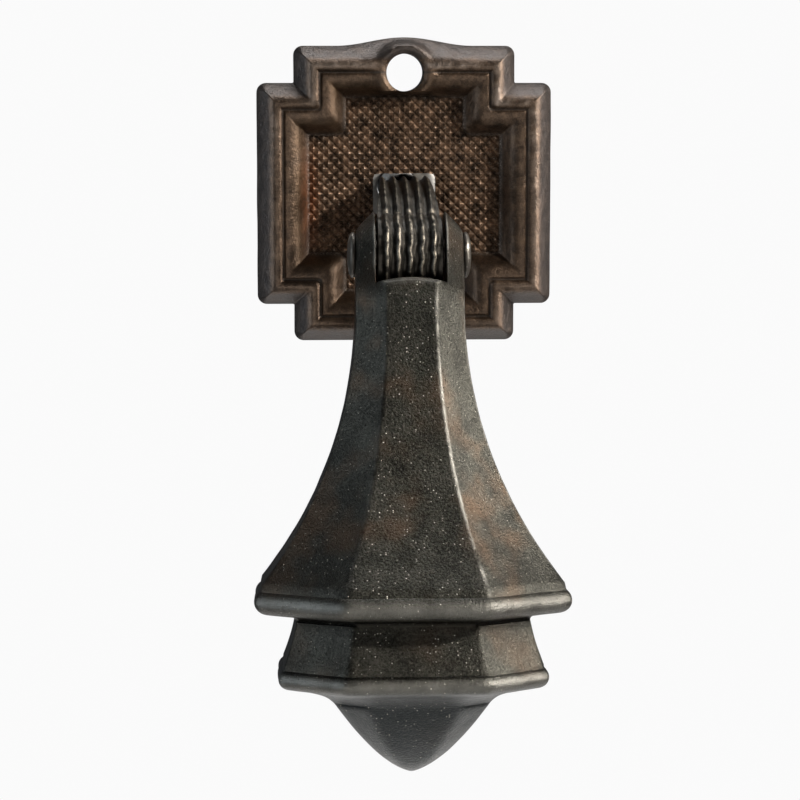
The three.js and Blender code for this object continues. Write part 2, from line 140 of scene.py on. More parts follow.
# Fixings
PIN_GAP = 0.07
WASHER_GAP = 0.15
WASHER_EDGE = 0.12
NUT_GAP = 0.10
NUT_BEVEL = 0.45
NUT_THREAD = 0.18

# How far from the middle a drill starts
DRILL_REACH = 9


# ---- Sizes and colours a user would change ----


def length(name, words, default):
    return FloatProperty(name=name, description=words, default=default, unit="LENGTH", precision=5)


def colour(name, words, default):
    return FloatVectorProperty(
        name=name, description=words, default=default, subtype="COLOR", size=3, min=0, max=1
    )


NOT_SETTINGS = "rna_type", "name"


class PlateSettings(bpy.types.PropertyGroup):
    size: length("Size", "Width of the stepped square", float(plate_high[0] - plate_low[0]))
    step: length("Step", "Size of the step out of each corner", 3.75 * MM)
    crest: length("Crest height", "Height of the frame's crest", float(-plate_low[1]))
    field: length("Field thickness", "Thickness at the diamonds' points", 2.0 * MM)
    frame_width: length("Frame width", "From the edge to the field", 5.3 * MM)
    crown: length("Crown", "Rise of the top edge over its middle", 0.85 * MM)
    diamond: length("Diamond", "Width of one diamond of the field", 1.03 * MM)
    hole: length("Fixing hole", "Diameter of the fixing hole", 3.8 * MM)
    slot_width: length("Slot width", "Width of the bolt's slot", 6.4 * MM)
    slot_height: length("Slot height", "Height of the bolt's slot", 4.2 * MM)
    iron: colour("Iron", "Brown burnished iron", (0.069, 0.044, 0.028))
    # Worn crest: bare iron on the crests, and also a painted highlight that is brighter at the top
    # and on the right
    worn: colour("Worn crest", "Bare iron on rubbed crests", (0.27, 0.23, 0.20))
    # Grime: painted shade in the plate's groove, at the foot of the inner wall and in the diamonds'
    # grooves
    grime: colour("Grime", "Dark wax left in the hollows", (0.016, 0.012, 0.009))
    # Patina: ochre, laid only on the left inner wall, so it also paints warm light there
    patina: colour("Patina", "Ochre patina of the inner walls", (0.056, 0.032, 0.014))
    edge: colour("Edge", "Greyer iron of the outer slope", (0.040, 0.036, 0.035))
    # Rust: also paints warm light where the lit left wall meets the field
    rust_and_warm_light: colour("Rust", "Rust at the left of the field", (0.190, 0.062, 0.020))


class BoltSettings(bpy.types.PropertyGroup):
    eye_radius: length("Eye radius", "Radius at the crests of the eye's ribs", 4.2 * MM)
    eye_width: length("Eye width", "Width of the ribbed eye", float(bolt_high[0] - bolt_low[0]))
    neck_width: length("Neck width", "Width of the ribbed neck at the door", 5.1 * MM)
    neck_thickness: length("Neck thickness", "Thickness of the ribbed neck", 3.6 * MM)
    neck_straight: length("Straight neck", "Length of neck before it bends", 3.0 * MM)
    rib_depth: length("Rib depth", "Depth of the grooves between ribs", 0.45 * MM)
    eye_rib_pitch: length("Eye rib pitch", "From rib to rib on the eye", 1.15 * MM)
    neck_rib_pitch: length("Neck rib pitch", "From rib to rib on the neck", 1.12 * MM)
    thread: length("Thread", "Outer diameter of the thread", 4.0 * MM)
    thread_pitch: length("Thread pitch", "From thread to thread", 0.7 * MM)
    bore: length("Bore", "Diameter of the hole for the rivet", 3.0 * MM)
    iron: colour("Iron", "Black iron of the ribs", (0.045, 0.040, 0.034))
    # Worn ribs: bare iron, and also a painted highlight along the ribs' crests
    worn: colour("Worn ribs", "Bare iron on the crests of the ribs", (0.32, 0.28, 0.22))
    grime: colour("Grime", "Dark wax between the ribs", (0.012, 0.011, 0.009))
    shank: colour("Shank", "Bare iron behind the plate", (0.20, 0.19, 0.175))


class DropSettings(bpy.types.PropertyGroup):
    top_half: length("Top half", "Half the width at the pin", 5.35 * MM)
    clevis_half: length("Clevis half", "Half the gap between the ears", 3.45 * MM)
    clevis_floor: length("Clevis floor", "Radius of the gap's floor about the pin", 4.6 * MM)
    lip_depth: length("Lip depth", "Depth of the lip below the pin", 2.3 * MM)
    flare_half: length("Flare half", "Half the width at the foot of the flare", 14.65 * MM)
    flare_depth: length("Flare depth", "Depth of the foot of the flare", 31.9 * MM)
    bead: length("Bell bead", "Radius of the bead round the bell", 1.05 * MM)
    tier_bead: length("Tier bead", "Radius of the bead round the tier", 0.9 * MM)
    softness: length("Softness", "Radius of the eight long edges", 0.5 * MM)
    iron: colour("Iron", "Blackened iron", (0.030, 0.029, 0.024))
    # Worn edges: bare iron, and also a painted highlight on the right-hand edges, the lip, the
    # ears' inner edges and the beads
    worn: colour("Worn edges", "Bare iron on edges and beads", (0.15, 0.145, 0.13))
    # Grime: real pits, and painted shade in the crease above the tier
    grime: colour("Grime", "Dark pits and creases", (0.016, 0.015, 0.012))
    patina: colour("Patina", "Warm brown patches", (0.072, 0.043, 0.025))
    # Finial: painted cool light and shade, blue-black on the finial
    finial: colour("Finial", "Blue-black of the finial", (0.008, 0.0105, 0.012))
    # Ears: makes the ears' sides round the pin darker
    ear: colour("Ears", "Dark wax on the ears", (0.010, 0.009, 0.007))
    # Glints: painted highlights, bright specks painted into the skin's colour
    painted_glint: colour("Glints", "Bright grains in the cast skin", (0.48, 0.45, 0.39))


class FixingSettings(bpy.types.PropertyGroup):
    steel: colour("Steel", "Dull plated steel", (0.46, 0.45, 0.43))
    tarnish: colour("Tarnish", "Darker patches on the steel", (0.20, 0.18, 0.16))
    rivet: colour("Rivet", "Blackened rivet", (0.060, 0.054, 0.046))
    rivet_worn: colour("Worn rivet", "Bare iron on the rivet's heads", (0.40, 0.37, 0.33))


def settings(group_name):
    """One group's settings, with its lengths in millimetres."""
    group = getattr(bpy.context.scene, f"drop_pull_{group_name}")
    names = [name for name in group.bl_rna.properties.keys() if name not in NOT_SETTINGS]
    values = {name: getattr(group, name) for name in names}
    lengths = {name: value / MM for name, value in values.items() if isinstance(value, float)}
    return SimpleNamespace(**(values | lengths))


# ---- Mesh helpers ----


def zipped(*parts):
    """Points from their coordinates, or faces from their corners, each an array or a number."""
    return np.stack(np.broadcast_arrays(*parts), axis=-1)


def grid_faces(rows, columns, wrap_columns=False):
    """Quads of a grid of points, row by row; a wrapped row joins its last point to its first."""
    row = np.arange(rows - 1)[:, None] * columns
    column = np.arange(columns if wrap_columns else columns - 1)
    after = (column + 1) % columns
    quads = zipped(row + column, row + after, row + columns + after, row + columns + column)
    return quads.reshape(-1, 4)


def mesh_of(name, points, faces):
    """A mesh from points in millimetres and faces, merged and with its faces turned outwards."""
    mesh = bpy.data.meshes.new(name)
    mesh.from_pydata((np.asarray(points).reshape(-1, 3) * MM).tolist(), [], faces)
    shell = bmesh.new()
    shell.from_mesh(mesh)
    bmesh.ops.remove_doubles(shell, verts=shell.verts, dist=2e-7)
    bmesh.ops.dissolve_degenerate(shell, edges=shell.edges, dist=1e-8)
    bmesh.ops.recalc_face_normals(shell, faces=shell.faces)
    shell.to_mesh(mesh)
    shell.free()
    return mesh


def object_of(mesh):
    """An object at the origin that shows a mesh."""
    piece = bpy.data.objects.new(mesh.name, mesh)
    bpy.context.collection.objects.link(piece)
    return piece


def stacked_rings(name, rings):
    """A closed body through a stack of rings of points: rings is rows by columns by three."""
    rows, columns, _ = rings.shape
    faces = grid_faces(rows, columns, wrap_columns=True).tolist()
    faces.append(list(range(columns))[::-1])
    faces.append([(rows - 1) * columns + column for column in range(columns)])
    return object_of(mesh_of(name, rings, faces))


def turned(name, radius, along, axis, columns=96, wobble=None):
    """A turned body: a circle whose radius is given at each place along an axis ('X' or 'Y').

    radius and along are profile arrays that start and end on the axis. wobble(angle, along)
    gives the radius's small changes round the body.
    """
    angle = np.linspace(0, 2 * np.pi, columns, endpoint=False)
    reach = np.repeat(np.asarray(radius, float)[:, None], columns, axis=1)
    place = np.repeat(np.asarray(along, float)[:, None], columns, axis=1)
    if wobble is not None:
        reach = reach + wobble(angle[None, :], place) * (reach > 0)
    across, up = reach * np.cos(angle), reach * np.sin(angle)
    points = zipped(place, across, up) if axis == "X" else zipped(across, place, up)
    faces = grid_faces(len(reach), columns, wrap_columns=True).tolist()
    return object_of(mesh_of(name, points, faces))


def drill(radius, end, axis):
    """A plain cylinder about an axis, for boring a hole."""
    start = -DRILL_REACH
    return turned("drill", [0, radius, radius, 0], [start, start, end, end], axis, columns=72)


def combine(base, tool, operation):
    """Joins to or cuts from a body another closed body, which is used up."""
    modifier = base.modifiers.new("combine", "BOOLEAN")
    modifier.operation = operation
    modifier.solver = "EXACT"
    modifier.object = tool
    bake_modifiers(base)
    bpy.data.objects.remove(tool)
    return base


def bake_modifiers(piece):
    """Replaces a piece's mesh with what its modifiers make of it."""
    depsgraph = bpy.context.evaluated_depsgraph_get()
    baked = bpy.data.meshes.new_from_object(piece.evaluated_get(depsgraph))
    baked.name = piece.name
    piece.modifiers.clear()
    piece.data = baked


def merge_shells(base, *others):
    """Puts the closed shells of several objects into one mesh."""
    shell = bmesh.new()
    for piece in (base, *others):
        shell.from_mesh(piece.data)
    shell.to_mesh(base.data)
    shell.free()
    for piece in others:
        bpy.data.objects.remove(piece)
    return base


def settle(piece, body, node, finish, smooth_angle=32):
    """Gives a finished piece its shading, material, material slot and body, and hides its CAD node.
    """
    piece.data.materials.clear()
    piece.data.materials.append(finish)
    piece.data.polygons.foreach_set("use_smooth", np.ones(len(piece.data.polygons), bool))
    piece.data.set_sharp_from_angle(angle=math.radians(smooth_angle))
    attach(piece, body)
    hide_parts(node)


def ripple(points, size, seed, waves=7):
    """Smooth unevenness between -1 and 1: a mean of sine waves in seeded directions."""
    chance = np.random.default_rng(seed)
    direction = chance.normal(size=(waves, 3))
    direction /= np.linalg.norm(direction, axis=1, keepdims=True)
    turns = 2 * np.pi / (size * chance.uniform(0.7, 1.4, waves))
    phase = chance.uniform(0, 2 * np.pi, waves)
    total = np.sin(points @ (direction * turns[:, None]).T + phase).sum(axis=-1)
    return total / waves


def ease(value, start, end):
    """Smooth rise from 0 at start to 1 at end."""
    share = np.clip((value - start) / (end - start), 0, 1)
    return share * share * (3 - 2 * share)


def curve_through(points, samples_between):
    """A smooth curve through points in any number of columns: Catmull-Rom between each pair."""
    points = np.asarray(points, float)
    padded = np.vstack([2 * points[0] - points[1], points, 2 * points[-1] - points[-2]])
    share = np.linspace(0, 1, samples_between, endpoint=False)[:, None]
    spans = []
    for before, start, end, after in zip(padded, padded[1:], padded[2:], padded[3:]):
        pull_in, pull_out = (end - before) / 2, (after - start) / 2
        rise = end - start
        spans.append(
            start
            + pull_in * share
            + (3 * rise - 2 * pull_in - pull_out) * share**2
            + (pull_in + pull_out - 2 * rise) * share**3
        )
    return np.vstack(spans + [points[-1:]])


def arc_points(across, along, radius, start, end, count):
    """Points of an arc as two arrays, with its ends' angles in degrees."""
    angle = np.radians(np.linspace(start, end, count))
    return across + radius * np.cos(angle), along + radius * np.sin(angle)


# ---- Backplate ----


def stepped_outline(inset, half, step, corner_radius, nose_radius):
    """Outlines of the stepped square, one for each inset: rows by points by two.

    Each corner is a quarter circle between the directions in which the outline arrives and
    leaves; straight runs of points join one corner to the next.
    """
    arm, shoulder = half - inset, half - step - inset
    up, left = np.array([0.0, 1.0]), np.array([-1.0, 0.0])
    corners = [
        (arm, shoulder, up, left, corner_radius),
        (shoulder, shoulder, left, up, nose_radius),
        (shoulder, arm, up, left, corner_radius),
    ]
    sweep = np.linspace(0, np.pi / 2, 9)
    short, grow = (1 - np.sin(sweep))[None, :, None], (1 - np.cos(sweep))[None, :, None]
    arcs = []
    for quarter in range(4):
        turn = np.linalg.matrix_power(np.array([[0, 1], [-1, 0]]), quarter)
        for x, z, arriving, leaving, radius in corners:
            place = zipped(x, z)[:, None, :]
            reach = radius[:, None, None]
            arcs.append((place - reach * short * arriving + reach * grow * leaving) @ turn)
    long_run, short_run = 78, 12
    runs = []
    for index, arc in enumerate(arcs):
        following = arcs[(index + 1) % len(arcs)]
        count = long_run if index % len(corners) == len(corners) - 1 else short_run
        share = np.linspace(0, 1, count + 2)[1:-1][None, :, None]
        runs += [arc, arc[:, -1:] * (1 - share) + following[:, :1] * share]
    return np.concatenate(runs, axis=1)


def plate_frame(sizes):
    """The plate without its diamonds: the moulding's profile carried round the stepped outline.

    The height is the profile's, raised to a smooth boss round the fixing hole, and the outline's
    top edge is crowned by half a cosine wave.
    """
    half = sizes.size / 2
    crest, field = sizes.crest - 0.05, sizes.field
    field_edge = sizes.frame_width
    hole_radius = sizes.hole / 2
    hole_up = half - HOLE_BELOW_EDGE - hole_radius
    # Inset, height and share of the crown, from the foot of the outer slope to below the field
    moulding = curve_through(
        [
            (0.0, 1.1, 1.0),
            (0.12, 1.5, 1.0),
            (0.55, 2.45, 0.85),
            (1.10, 3.45, 0.5),
            (1.50, crest - 0.22, 0.25),
            (CREST_INSET, crest, 0.0),
            (2.34, crest - 0.06, 0.0),
            (2.52, crest - 0.26, 0.0),
            (GROOVE_INSET, crest - 0.42, 0.0),
            (2.80, crest - 0.36, 0.0),
            (3.00, crest - 0.27, 0.0),
            (3.55, crest - 0.36, 0.0),
            (4.15, crest - 0.72, 0.1),
            (4.62, field + 0.82, 0.25),
            (5.00, field + 0.25, 0.4),
            (field_edge, field - 0.12, 0.45),
            (field_edge + 0.12, field - 0.7, 0.45),
        ],
        4,
    )
    inset = np.concatenate([[0.0], moulding[:, 0]])
    height = np.concatenate([[0.0], moulding[:, 1]])
    rise = np.concatenate([[1.0], moulding[:, 2]])
    corner_radius = np.maximum(SHARPEST_CORNER, OUTER_CORNER - inset)
    nose_radius = np.maximum(SHARPEST_CORNER, NOSE_CORNER * inset / field_edge)
    outline = stepped_outline(inset, half, sizes.step, corner_radius, nose_radius)
    x, z = outline[..., 0], outline[..., 1]
    wave = 0.5 * (1 + np.cos(np.pi * x / CROWN_REACH))
    crown = np.where(np.abs(x) < CROWN_REACH, wave, 0)
    z = z + np.where(z > 0, sizes.crown * rise[:, None] * crown, 0)
    away = np.hypot(x, z - hole_up)
    boss = (1 - ease(away, hole_radius + 0.75, hole_radius + 1.6)) * ease(inset, 0.1, 0.6)[:, None]
    boss = boss * (1 - ease(inset, field_edge - 0.6, field_edge))[:, None]
    height = height[:, None] * (1 - boss) + (crest - 0.1) * boss
    height -= DISH_DEPTH * boss * (1 - ease(away, hole_radius, hole_radius + 0.45))
    points = zipped(x, -height, z)
    raised = ease(height, 0.4, 1.4)
    points[..., 1] -= raised * 0.045 * ripple(points, 3.1, 4)
    edge = (1 - ease(inset, 0.3, 1.5))[:, None] * raised
    points[..., 0] += edge * 0.05 * ripple(points, 4.5, 5)
    plate = stacked_rings("backplate_iron", points)
    bit = drill(hole_radius, 5, "Y")
    bit.data.transform(Matrix.Translation((0, 0, hole_up * MM)))
    return combine(plate, bit, "DIFFERENCE")


def diamond_field(sizes):
    """A block whose front is cut by two families of V grooves at 45 degrees.

    The depth is the deeper of the two tent waves along x + z and x - z, and each diamond's point
    is rubbed down by its own seeded amount.
    """
    half_diamond = sizes.diamond / 2
    per_half = STEPS_PER_HALF_DIAMOND
    reach = int(FIELD_REACH / half_diamond)
    ticks = np.arange(-reach * per_half, reach * per_half + 1) / per_half
    across, up = np.meshgrid(ticks, ticks, indexing="ij")
    fall = 1 - np.abs(2 * np.mod((across + up) / 2, 1) - 1)
    climb = 1 - np.abs(2 * np.mod((across - up) / 2, 1) - 1)
    depth = np.maximum(FALLING_GROOVE * (1 - fall), CLIMBING_GROOVE * (1 - climb))
    chance = np.random.default_rng(11)
    cells = chance.uniform(0.0, POINT_WEAR, size=(4 * reach + 8, 4 * reach + 8))
    along_fall = np.floor((across + up) / 2).astype(int) + 2 * reach + 2
    along_climb = np.floor((across - up) / 2).astype(int) + 2 * reach + 2
    depth = np.maximum(depth, cells[along_fall, along_climb])
    points = zipped(across * half_diamond, 0.0, up * half_diamond)
    points[..., 1] = -(sizes.field - depth) + 0.05 * ripple(points, 5.0, 8)
    size = len(ticks)
    index = np.arange(size * size).reshape(size, size)
    lower_left, lower_right = index[:-1, :-1], index[1:, :-1]
    upper_left, upper_right = index[:-1, 1:], index[1:, 1:]
    middle_fall = (fall[:-1, :-1] + fall[1:, 1:]) / 2
    middle_climb = (climb[:-1, :-1] + climb[1:, 1:]) / 2
    slash = middle_climb < middle_fall
    first = zipped(lower_left, lower_right, np.where(slash, upper_right, upper_left))
    second = zipped(np.where(slash, lower_left, lower_right), upper_right, upper_left)
    rim = np.concatenate([index[:-1, 0], index[-1, :-1], index[:0:-1, -1], index[0, :0:-1]])
    base = points.reshape(-1, 3)[rim] * [1, 0, 1] + [0, -0.6, 0]
    below = size * size + np.arange(len(rim))
    skirt = zipped(rim, below, np.roll(below, -1), np.roll(rim, -1))
    faces = first.reshape(-1, 3).tolist() + second.reshape(-1, 3).tolist()
    faces += skirt.tolist() + [below.tolist()]
    return object_of(mesh_of("diamonds", np.vstack([points.reshape(-1, 3), base]), faces))


def slot_cutter(sizes, from_y, to_y):
    """A box with softened corners through the plate, as a stack of two four-cornered rings."""
    angle = np.linspace(0, 2 * np.pi, 48, endpoint=False)
    power = 14
    reach = (np.abs(np.cos(angle)) ** power + np.abs(np.sin(angle)) ** power) ** (-1 / power)
    x = reach * np.cos(angle) * sizes.slot_width / 2
    z = reach * np.sin(angle) * sizes.slot_height / 2
    rings = np.stack([zipped(x, y, z) for y in (from_y, to_y)])
    return stacked_rings("slot_cutter", rings)


def build_backplate():
    """The backplate: the moulded frame and the diamond field, with the bolt's slot through both."""
    sizes = settings("plate")
    plate = combine(plate_frame(sizes), slot_cutter(sizes, -8, 3), "DIFFERENCE")
    diamonds = combine(diamond_field(sizes), slot_cutter(sizes, -8, 3), "DIFFERENCE")
    merge_shells(plate, diamonds)
    settle(plate, "mount", "backplate", plate_finish(sizes), smooth_angle=38)


# ---- Eye bolt ----


def rib_fall(across, pitch):
    """How far a ribbed surface lies below its crests, as a share: one less a cosine's power."""
    inside = np.abs(across) < RIBS * pitch / 2
    return np.where(inside, 1 - np.abs(np.cos(np.pi * across / pitch)) ** 2.4, 1)


def ribbed_eye(sizes):
    """The eye: a cylinder about X whose radius follows the ribs, which waver as they go round."""
    half = sizes.eye_width / 2
    radius, depth = sizes.eye_radius, sizes.rib_depth
    pitch = sizes.eye_rib_pitch
    crests = np.linspace(-half + 0.15, half - 0.15, 93)
    across = np.concatenate([[-half, -half, -half + 0.08], crests, [half - 0.08, half, half]])
    reach = np.full(len(across), radius)
    reach[[0, -1]] = 0
    reach[[1, -2]] -= 0.1

    def waver(angle, place):
        shift = 0.05 * np.sin(4 * angle + 0.9) + 0.03 * np.sin(13 * angle + 0.8 * place)
        bent = (angle - 3.05) / 0.16
        shift = shift - 0.16 * bent * np.exp(-(bent**2))
        rough = ripple(zipped(4 * np.cos(angle), 2 * place, 4 * np.sin(angle)), 1.3, 9)
        return -depth * rib_fall(place + shift, pitch) + 0.035 * rough

    return turned("eye_bolt_iron", reach, across, "X", columns=168, wobble=waver)


def ribbed_neck(sizes):
    """The neck: a ribbed section carried along the bolt's axis, then round one arc to the eye."""
    thick = sizes.neck_thickness / 2
    straight, pitch = sizes.neck_straight, sizes.neck_rib_pitch
    reach = pivot_out - straight
    bend = (reach**2 + pivot_down**2) / (2 * pivot_down)
    turn = np.concatenate([[0, 0, 0], np.linspace(0, math.asin(reach / bend), 46)])
    lead = np.concatenate([[0, 0.4, straight / 2], np.full(46, straight)])
    along, up = -lead - bend * np.sin(turn), -bend * (1 - np.cos(turn))
    narrow, wide = sizes.neck_width / 2, sizes.eye_width / 2 - 0.08
    half = (narrow + (wide - narrow) * ease(turn, 0, 0.75 * turn[-1]))[:, None]
    top = np.linspace(1, -1, 93)
    side = NECK_SIDE
    beside = np.concatenate([[-1, -1, 1, 1, 1], top, [-1]])
    corner = np.concatenate([[0, 1, -1, 0, 0], -0.1 * top, [0]]) * side
    x = beside * half + corner
    low = [-thick + side, -thick, -thick, -thick + side, thick - 0.6]
    flat_up = np.concatenate([low, np.full(len(top), thick), [thick - 0.6]])
    ribbed = np.concatenate([np.zeros(5), np.ones(len(top)), [0]])
    waver = 0.05 * np.sin(5.5 * turn + 1)[:, None]
    fall = rib_fall(x + waver, pitch) * ribbed * sizes.rib_depth
    height = flat_up[None, :] - fall
    sine, cosine = np.sin(turn)[:, None], np.cos(turn)[:, None]
    points = zipped(x, along[:, None] - height * sine, up[:, None] + height * cosine)
    points[..., 2] += ribbed * 0.025 * ripple(points * [2, 1, 1], 1.4, 10)
    return stacked_rings("neck", points)


def threaded_shank(sizes, end):
    """The shank: a cylinder about Y whose radius is a tent wave of place less angle over a turn."""
    radius, pitch = sizes.thread / 2, sizes.thread_pitch
    rows_per_turn = 12
    inner = -SHANK_IN_NECK
    rows = np.linspace(0, end, int(end / pitch * rows_per_turn))
    along = np.concatenate([[inner, inner], rows, [end]])
    reach = np.full(len(along), radius)
    reach[[0, -1]] = 0
    reach[1] = radius - SHANK_IN_NECK

    def thread(angle, place):
        phase = np.mod(place / pitch - angle / (2 * np.pi), 1)
        tent = np.clip(1.25 * np.abs(2 * phase - 1) - 0.1, 0, 1)
        run_out = ease(place, 0.6, 1.8)
        point = np.maximum(0, place - (end - THREAD_POINT))
        return -THREAD_DEPTH * tent * run_out - point

    return turned("shank", reach, along, "Y", columns=72, wobble=thread)


def build_eye_bolt():
    """The eye bolt: the eye, neck and shank joined into one body, then bored for the rivet."""
    sizes = settings("bolt")
    place = Matrix.Translation(Vector(pivot))
    eye = ribbed_eye(sizes)
    eye.data.transform(place)
    bolt = combine(eye, ribbed_neck(sizes), "UNION")
    bolt = combine(bolt, threaded_shank(sizes, bolt_high[1] / MM), "UNION")
    bit = drill(sizes.bore / 2, DRILL_REACH, "X")
    bit.data.transform(place)
    combine(bolt, bit, "DIFFERENCE")
    settle(bolt, "mount", "eye_bolt", bolt_finish(sizes), smooth_angle=40)


# ---- Drop ----


def drop_levels(sizes):
    """Depths below the pin, each a sum of the heights above it.

    They are the bell's bead, the tier's top, the tier's bead and the finial's top.
    """
    bell = sizes.flare_depth + FLARE_TO_BEAD
    tier_top = bell + sizes.bead + TIER_GAP
    tier = tier_top + TIER_WALL + sizes.tier_bead
    return bell, tier_top, tier, tier + sizes.tier_bead + COVE_HEIGHT


def drop_lean(sizes):
    """The angle off the vertical at which the bell's bead comes to rest just clear of the door."""
    half, depth = sizes.flare_half - sizes.bead / 3, drop_levels(sizes)[0]
    clear = pivot_out - sizes.bead - DOOR_GAP
    return math.acos(clear / math.hypot(half, depth)) - math.atan2(depth, half)


def hung(sizes):
    """Where the drop's own frame stands at rest: at the pin, and turned by the lean."""
    return Matrix.Translation(Vector(pivot)) @ Matrix.Rotation(-drop_lean(sizes), 4, "X")


def eight_sided(angle, half, flat, softness):
    """Distance from the axis to an eight-sided outline with soft edges, at each angle.

    It is one over a high-power mean of the eight sides' closenesses, and a side's closeness is
    the cosine of the angle to it over its distance.
    """
    sides = np.arange(8) * np.pi / 4
    half, flat, softness = (np.asarray(value)[..., None, None] for value in (half, flat, softness))
    distance = np.where(np.arange(8) % 2 == 0, half, half * (1 + flat) / math.sqrt(2))
    closeness = np.cos(angle[:, None] - sides) / distance
    nearest = closeness.max(axis=-1, keepdims=True)
    power = np.maximum(17 * half * 0.5 / softness, 6)
    total = (np.clip(closeness / nearest, 1e-9, 1) ** power).sum(axis=-1)
    return 1 / (nearest[..., 0] * total ** (1 / power[..., 0]))


def drop_profile(sizes):
    """Depth, half width, flat share and softness from the finial's tip up to the pin."""
    top, flare_half = sizes.top_half, sizes.flare_half
    flare_depth, bead, tier_bead = sizes.flare_depth, sizes.bead, sizes.tier_bead
    bell_half = flare_half - bead / 3
    bell_depth, tier_top, tier_depth, finial_top = drop_levels(sizes)
    soft = sizes.softness
    rows = []

    def add(half, depth, flat, softness):
        rows.append(zipped(depth, half, flat, softness))

    share = np.linspace(0.02, 1, 34) ** 1.15
    point = finial_top + FINIAL_HEIGHT * (1 - share**1.55)
    add(FINIAL_HALF * share, point, FINIAL_FLAT, 1.1 + share)
    cove = curve_through(
        [
            (7.0, finial_top + 0.8),
            (FINIAL_HALF, finial_top),
            (8.5, finial_top - 0.8),
            (10.0, finial_top - 1.35),
            (11.9, finial_top - 1.74),
        ],
        5,
    )
    cove = cove[cove[:, 0] > FINIAL_HALF]
    add(cove[:, 0], cove[:, 1], COVE_FLAT, 2.1)
    full = tier_bead + TIER_BEAD_SWELL
    arc = arc_points(TIER_HALF - full / 2, tier_depth - 0.1, full, 84, -58, 15)
    add(*arc, TIER_FLAT, 1.7)
    side = np.linspace(0, 1, 14)
    foot = TIER_HALF - 0.02
    wall = foot + (TIER_TOP_HALF - foot) * side - 0.12 * np.sin(np.pi * side)
    add(wall, tier_top + 4.3 - 4.25 * side, TIER_FLAT, 1.3 - 0.8 * ease(side, 0, 0.3))
    under = curve_through(
        [
            (TIER_TOP_HALF, tier_top),
            (11.6, tier_top - 0.35),
            (12.6, tier_top - 0.62),
            (13.9, tier_top - 0.78),
        ],
        4,
    )
    add(under[1:, 0], under[1:, 1], UNDER_FLAT, 1.0)
    arc = arc_points(bell_half - BEAD_SWELL, bell_depth - 0.1, bead + BEAD_SWELL, 86, -56, 17)
    add(*arc, BELL_FLAT, 1.9)
    run, out = flare_depth - PIN_TO_FLARE, flare_half - top
    bend = (run**2 + out**2) / (2 * out)
    turn = np.linspace(math.asin(run / bend), 0, 76)
    depth = PIN_TO_FLARE + bend * np.sin(turn)
    edge = soft + 1.1 * ease(depth, flare_depth - 2.2, flare_depth)
    add(top + bend * (1 - np.cos(turn)), depth, BELL_FLAT, edge)
    rise = np.linspace(EAR_HEIGHT, 0, 12)
    edge = soft + 1.5 * (1 - ease(rise, 0, EAR_HEIGHT))
    add(top, rise, BELL_FLAT, edge)
    return np.concatenate(rows)


def drop_body(sizes):
    """The drop: eight-sided rings from the tip up to the pin, then half a turn about the pin."""
    depth, half, flat, softness = drop_profile(sizes).T
    columns = 336
    angle = np.linspace(0, 2 * np.pi, columns, endpoint=False)
    reach = eight_sided(angle, half, flat, softness)
    points = zipped(reach * np.cos(angle), reach * np.sin(angle), -depth[:, None])
    calm = ease(depth, 0.5, 4)[:, None]
    swell = 0.07 * ripple(points, 9, 21) + 0.03 * ripple(points, 2.6, 22)
    points[..., :2] *= (1 + calm * swell / np.maximum(reach, 2))[..., None]
    points[..., 2] += calm * 0.05 * ripple(points, 7, 23)
    back = points[-1, : columns // 2 + 1]
    swing = np.linspace(0, np.pi, 61)[1:-1, None]
    over = zipped(back[:, 0], back[:, 1] * np.cos(swing), back[:, 1] * np.sin(swing))
    front = points[-1, (-np.arange(columns // 2 + 1)) % columns]
    over = np.concatenate([back[None], over, front[None]])
    faces = grid_faces(*reach.shape, wrap_columns=True).tolist()
    faces.append(list(range(columns))[::-1])
    start = points.shape[0] * columns
    faces += (grid_faces(*over.shape[:2]) + start).tolist()
    stack = np.vstack([points.reshape(-1, 3), over.reshape(-1, 3)])
    return object_of(mesh_of("drop_iron", stack, faces))


def warped_block(name, counts, shape):
    """A closed body from a unit block's six sides: shape(s, t, q) places each of their points."""
    lines = [np.linspace(low, 1, count) for low, count in zip((-1, -1, 0), counts)]
    points, faces, start = [], [], 0
    for fixed in range(3):
        first, second = [line for index, line in enumerate(lines) if index != fixed]
        a, b = np.meshgrid(first, second, indexing="ij")
        for end in (lines[fixed][0], lines[fixed][-1]):
            values = [a, b]
            values.insert(fixed, np.full_like(a, end))
            points.append(zipped(*shape(*values)).reshape(-1, 3))
            faces += (grid_faces(*a.shape) + start).tolist()
            start += a.size
    return object_of(mesh_of(name, np.vstack(points), faces))


def clevis_cutter(sizes):
    """The gap between the ears: a block that flares where it meets the drop's skin.

    Its half width grows by a quarter circle near the ears' rim, and its floor is the lower of the
    arched lip and a round trough about the pin.
    """
    half, floor = sizes.clevis_half, sizes.clevis_floor
    lip, top = sizes.lip_depth, sizes.top_half
    rim = top - (half - BELL_FLAT * top)
    flare = MOUTH_FLARE

    def shape(across, along, rise):
        y = along * (top + 1.5)
        arch = lip + 0.6 * across**2 + 0.35 * ease(np.abs(y), top - 0.45, top + 0.05)
        trough = np.sqrt(np.clip(floor**2 - y**2, 0, None))
        base = -np.maximum(arch, trough)
        z = base + rise * (top + 3 - base)
        reach = np.where(z < 0, np.abs(y), np.hypot(y, z))
        near = np.clip((reach - (rim - flare)) / flare, 0, 1)
        wide = half + flare * 0.8 * (1 - np.sqrt(1 - near**2))
        return across * wide, y, z

    return warped_block("clevis_cutter", (25, 91, 70), shape)


def build_drop():
    """The drop: its body less the clevis gap and the rivet's bore, then hung from the pin."""
    sizes = settings("drop")
    drop = combine(drop_body(sizes), clevis_cutter(sizes), "DIFFERENCE")
    bore = settings("bolt").bore / 2
    combine(drop, drill(bore, DRILL_REACH, "X"), "DIFFERENCE")
    drop.data.transform(hung(sizes))
    settle(drop, "pendant", "drop", drop_finish(sizes), smooth_angle=34)


# ---- Rivet, washer and nut ----


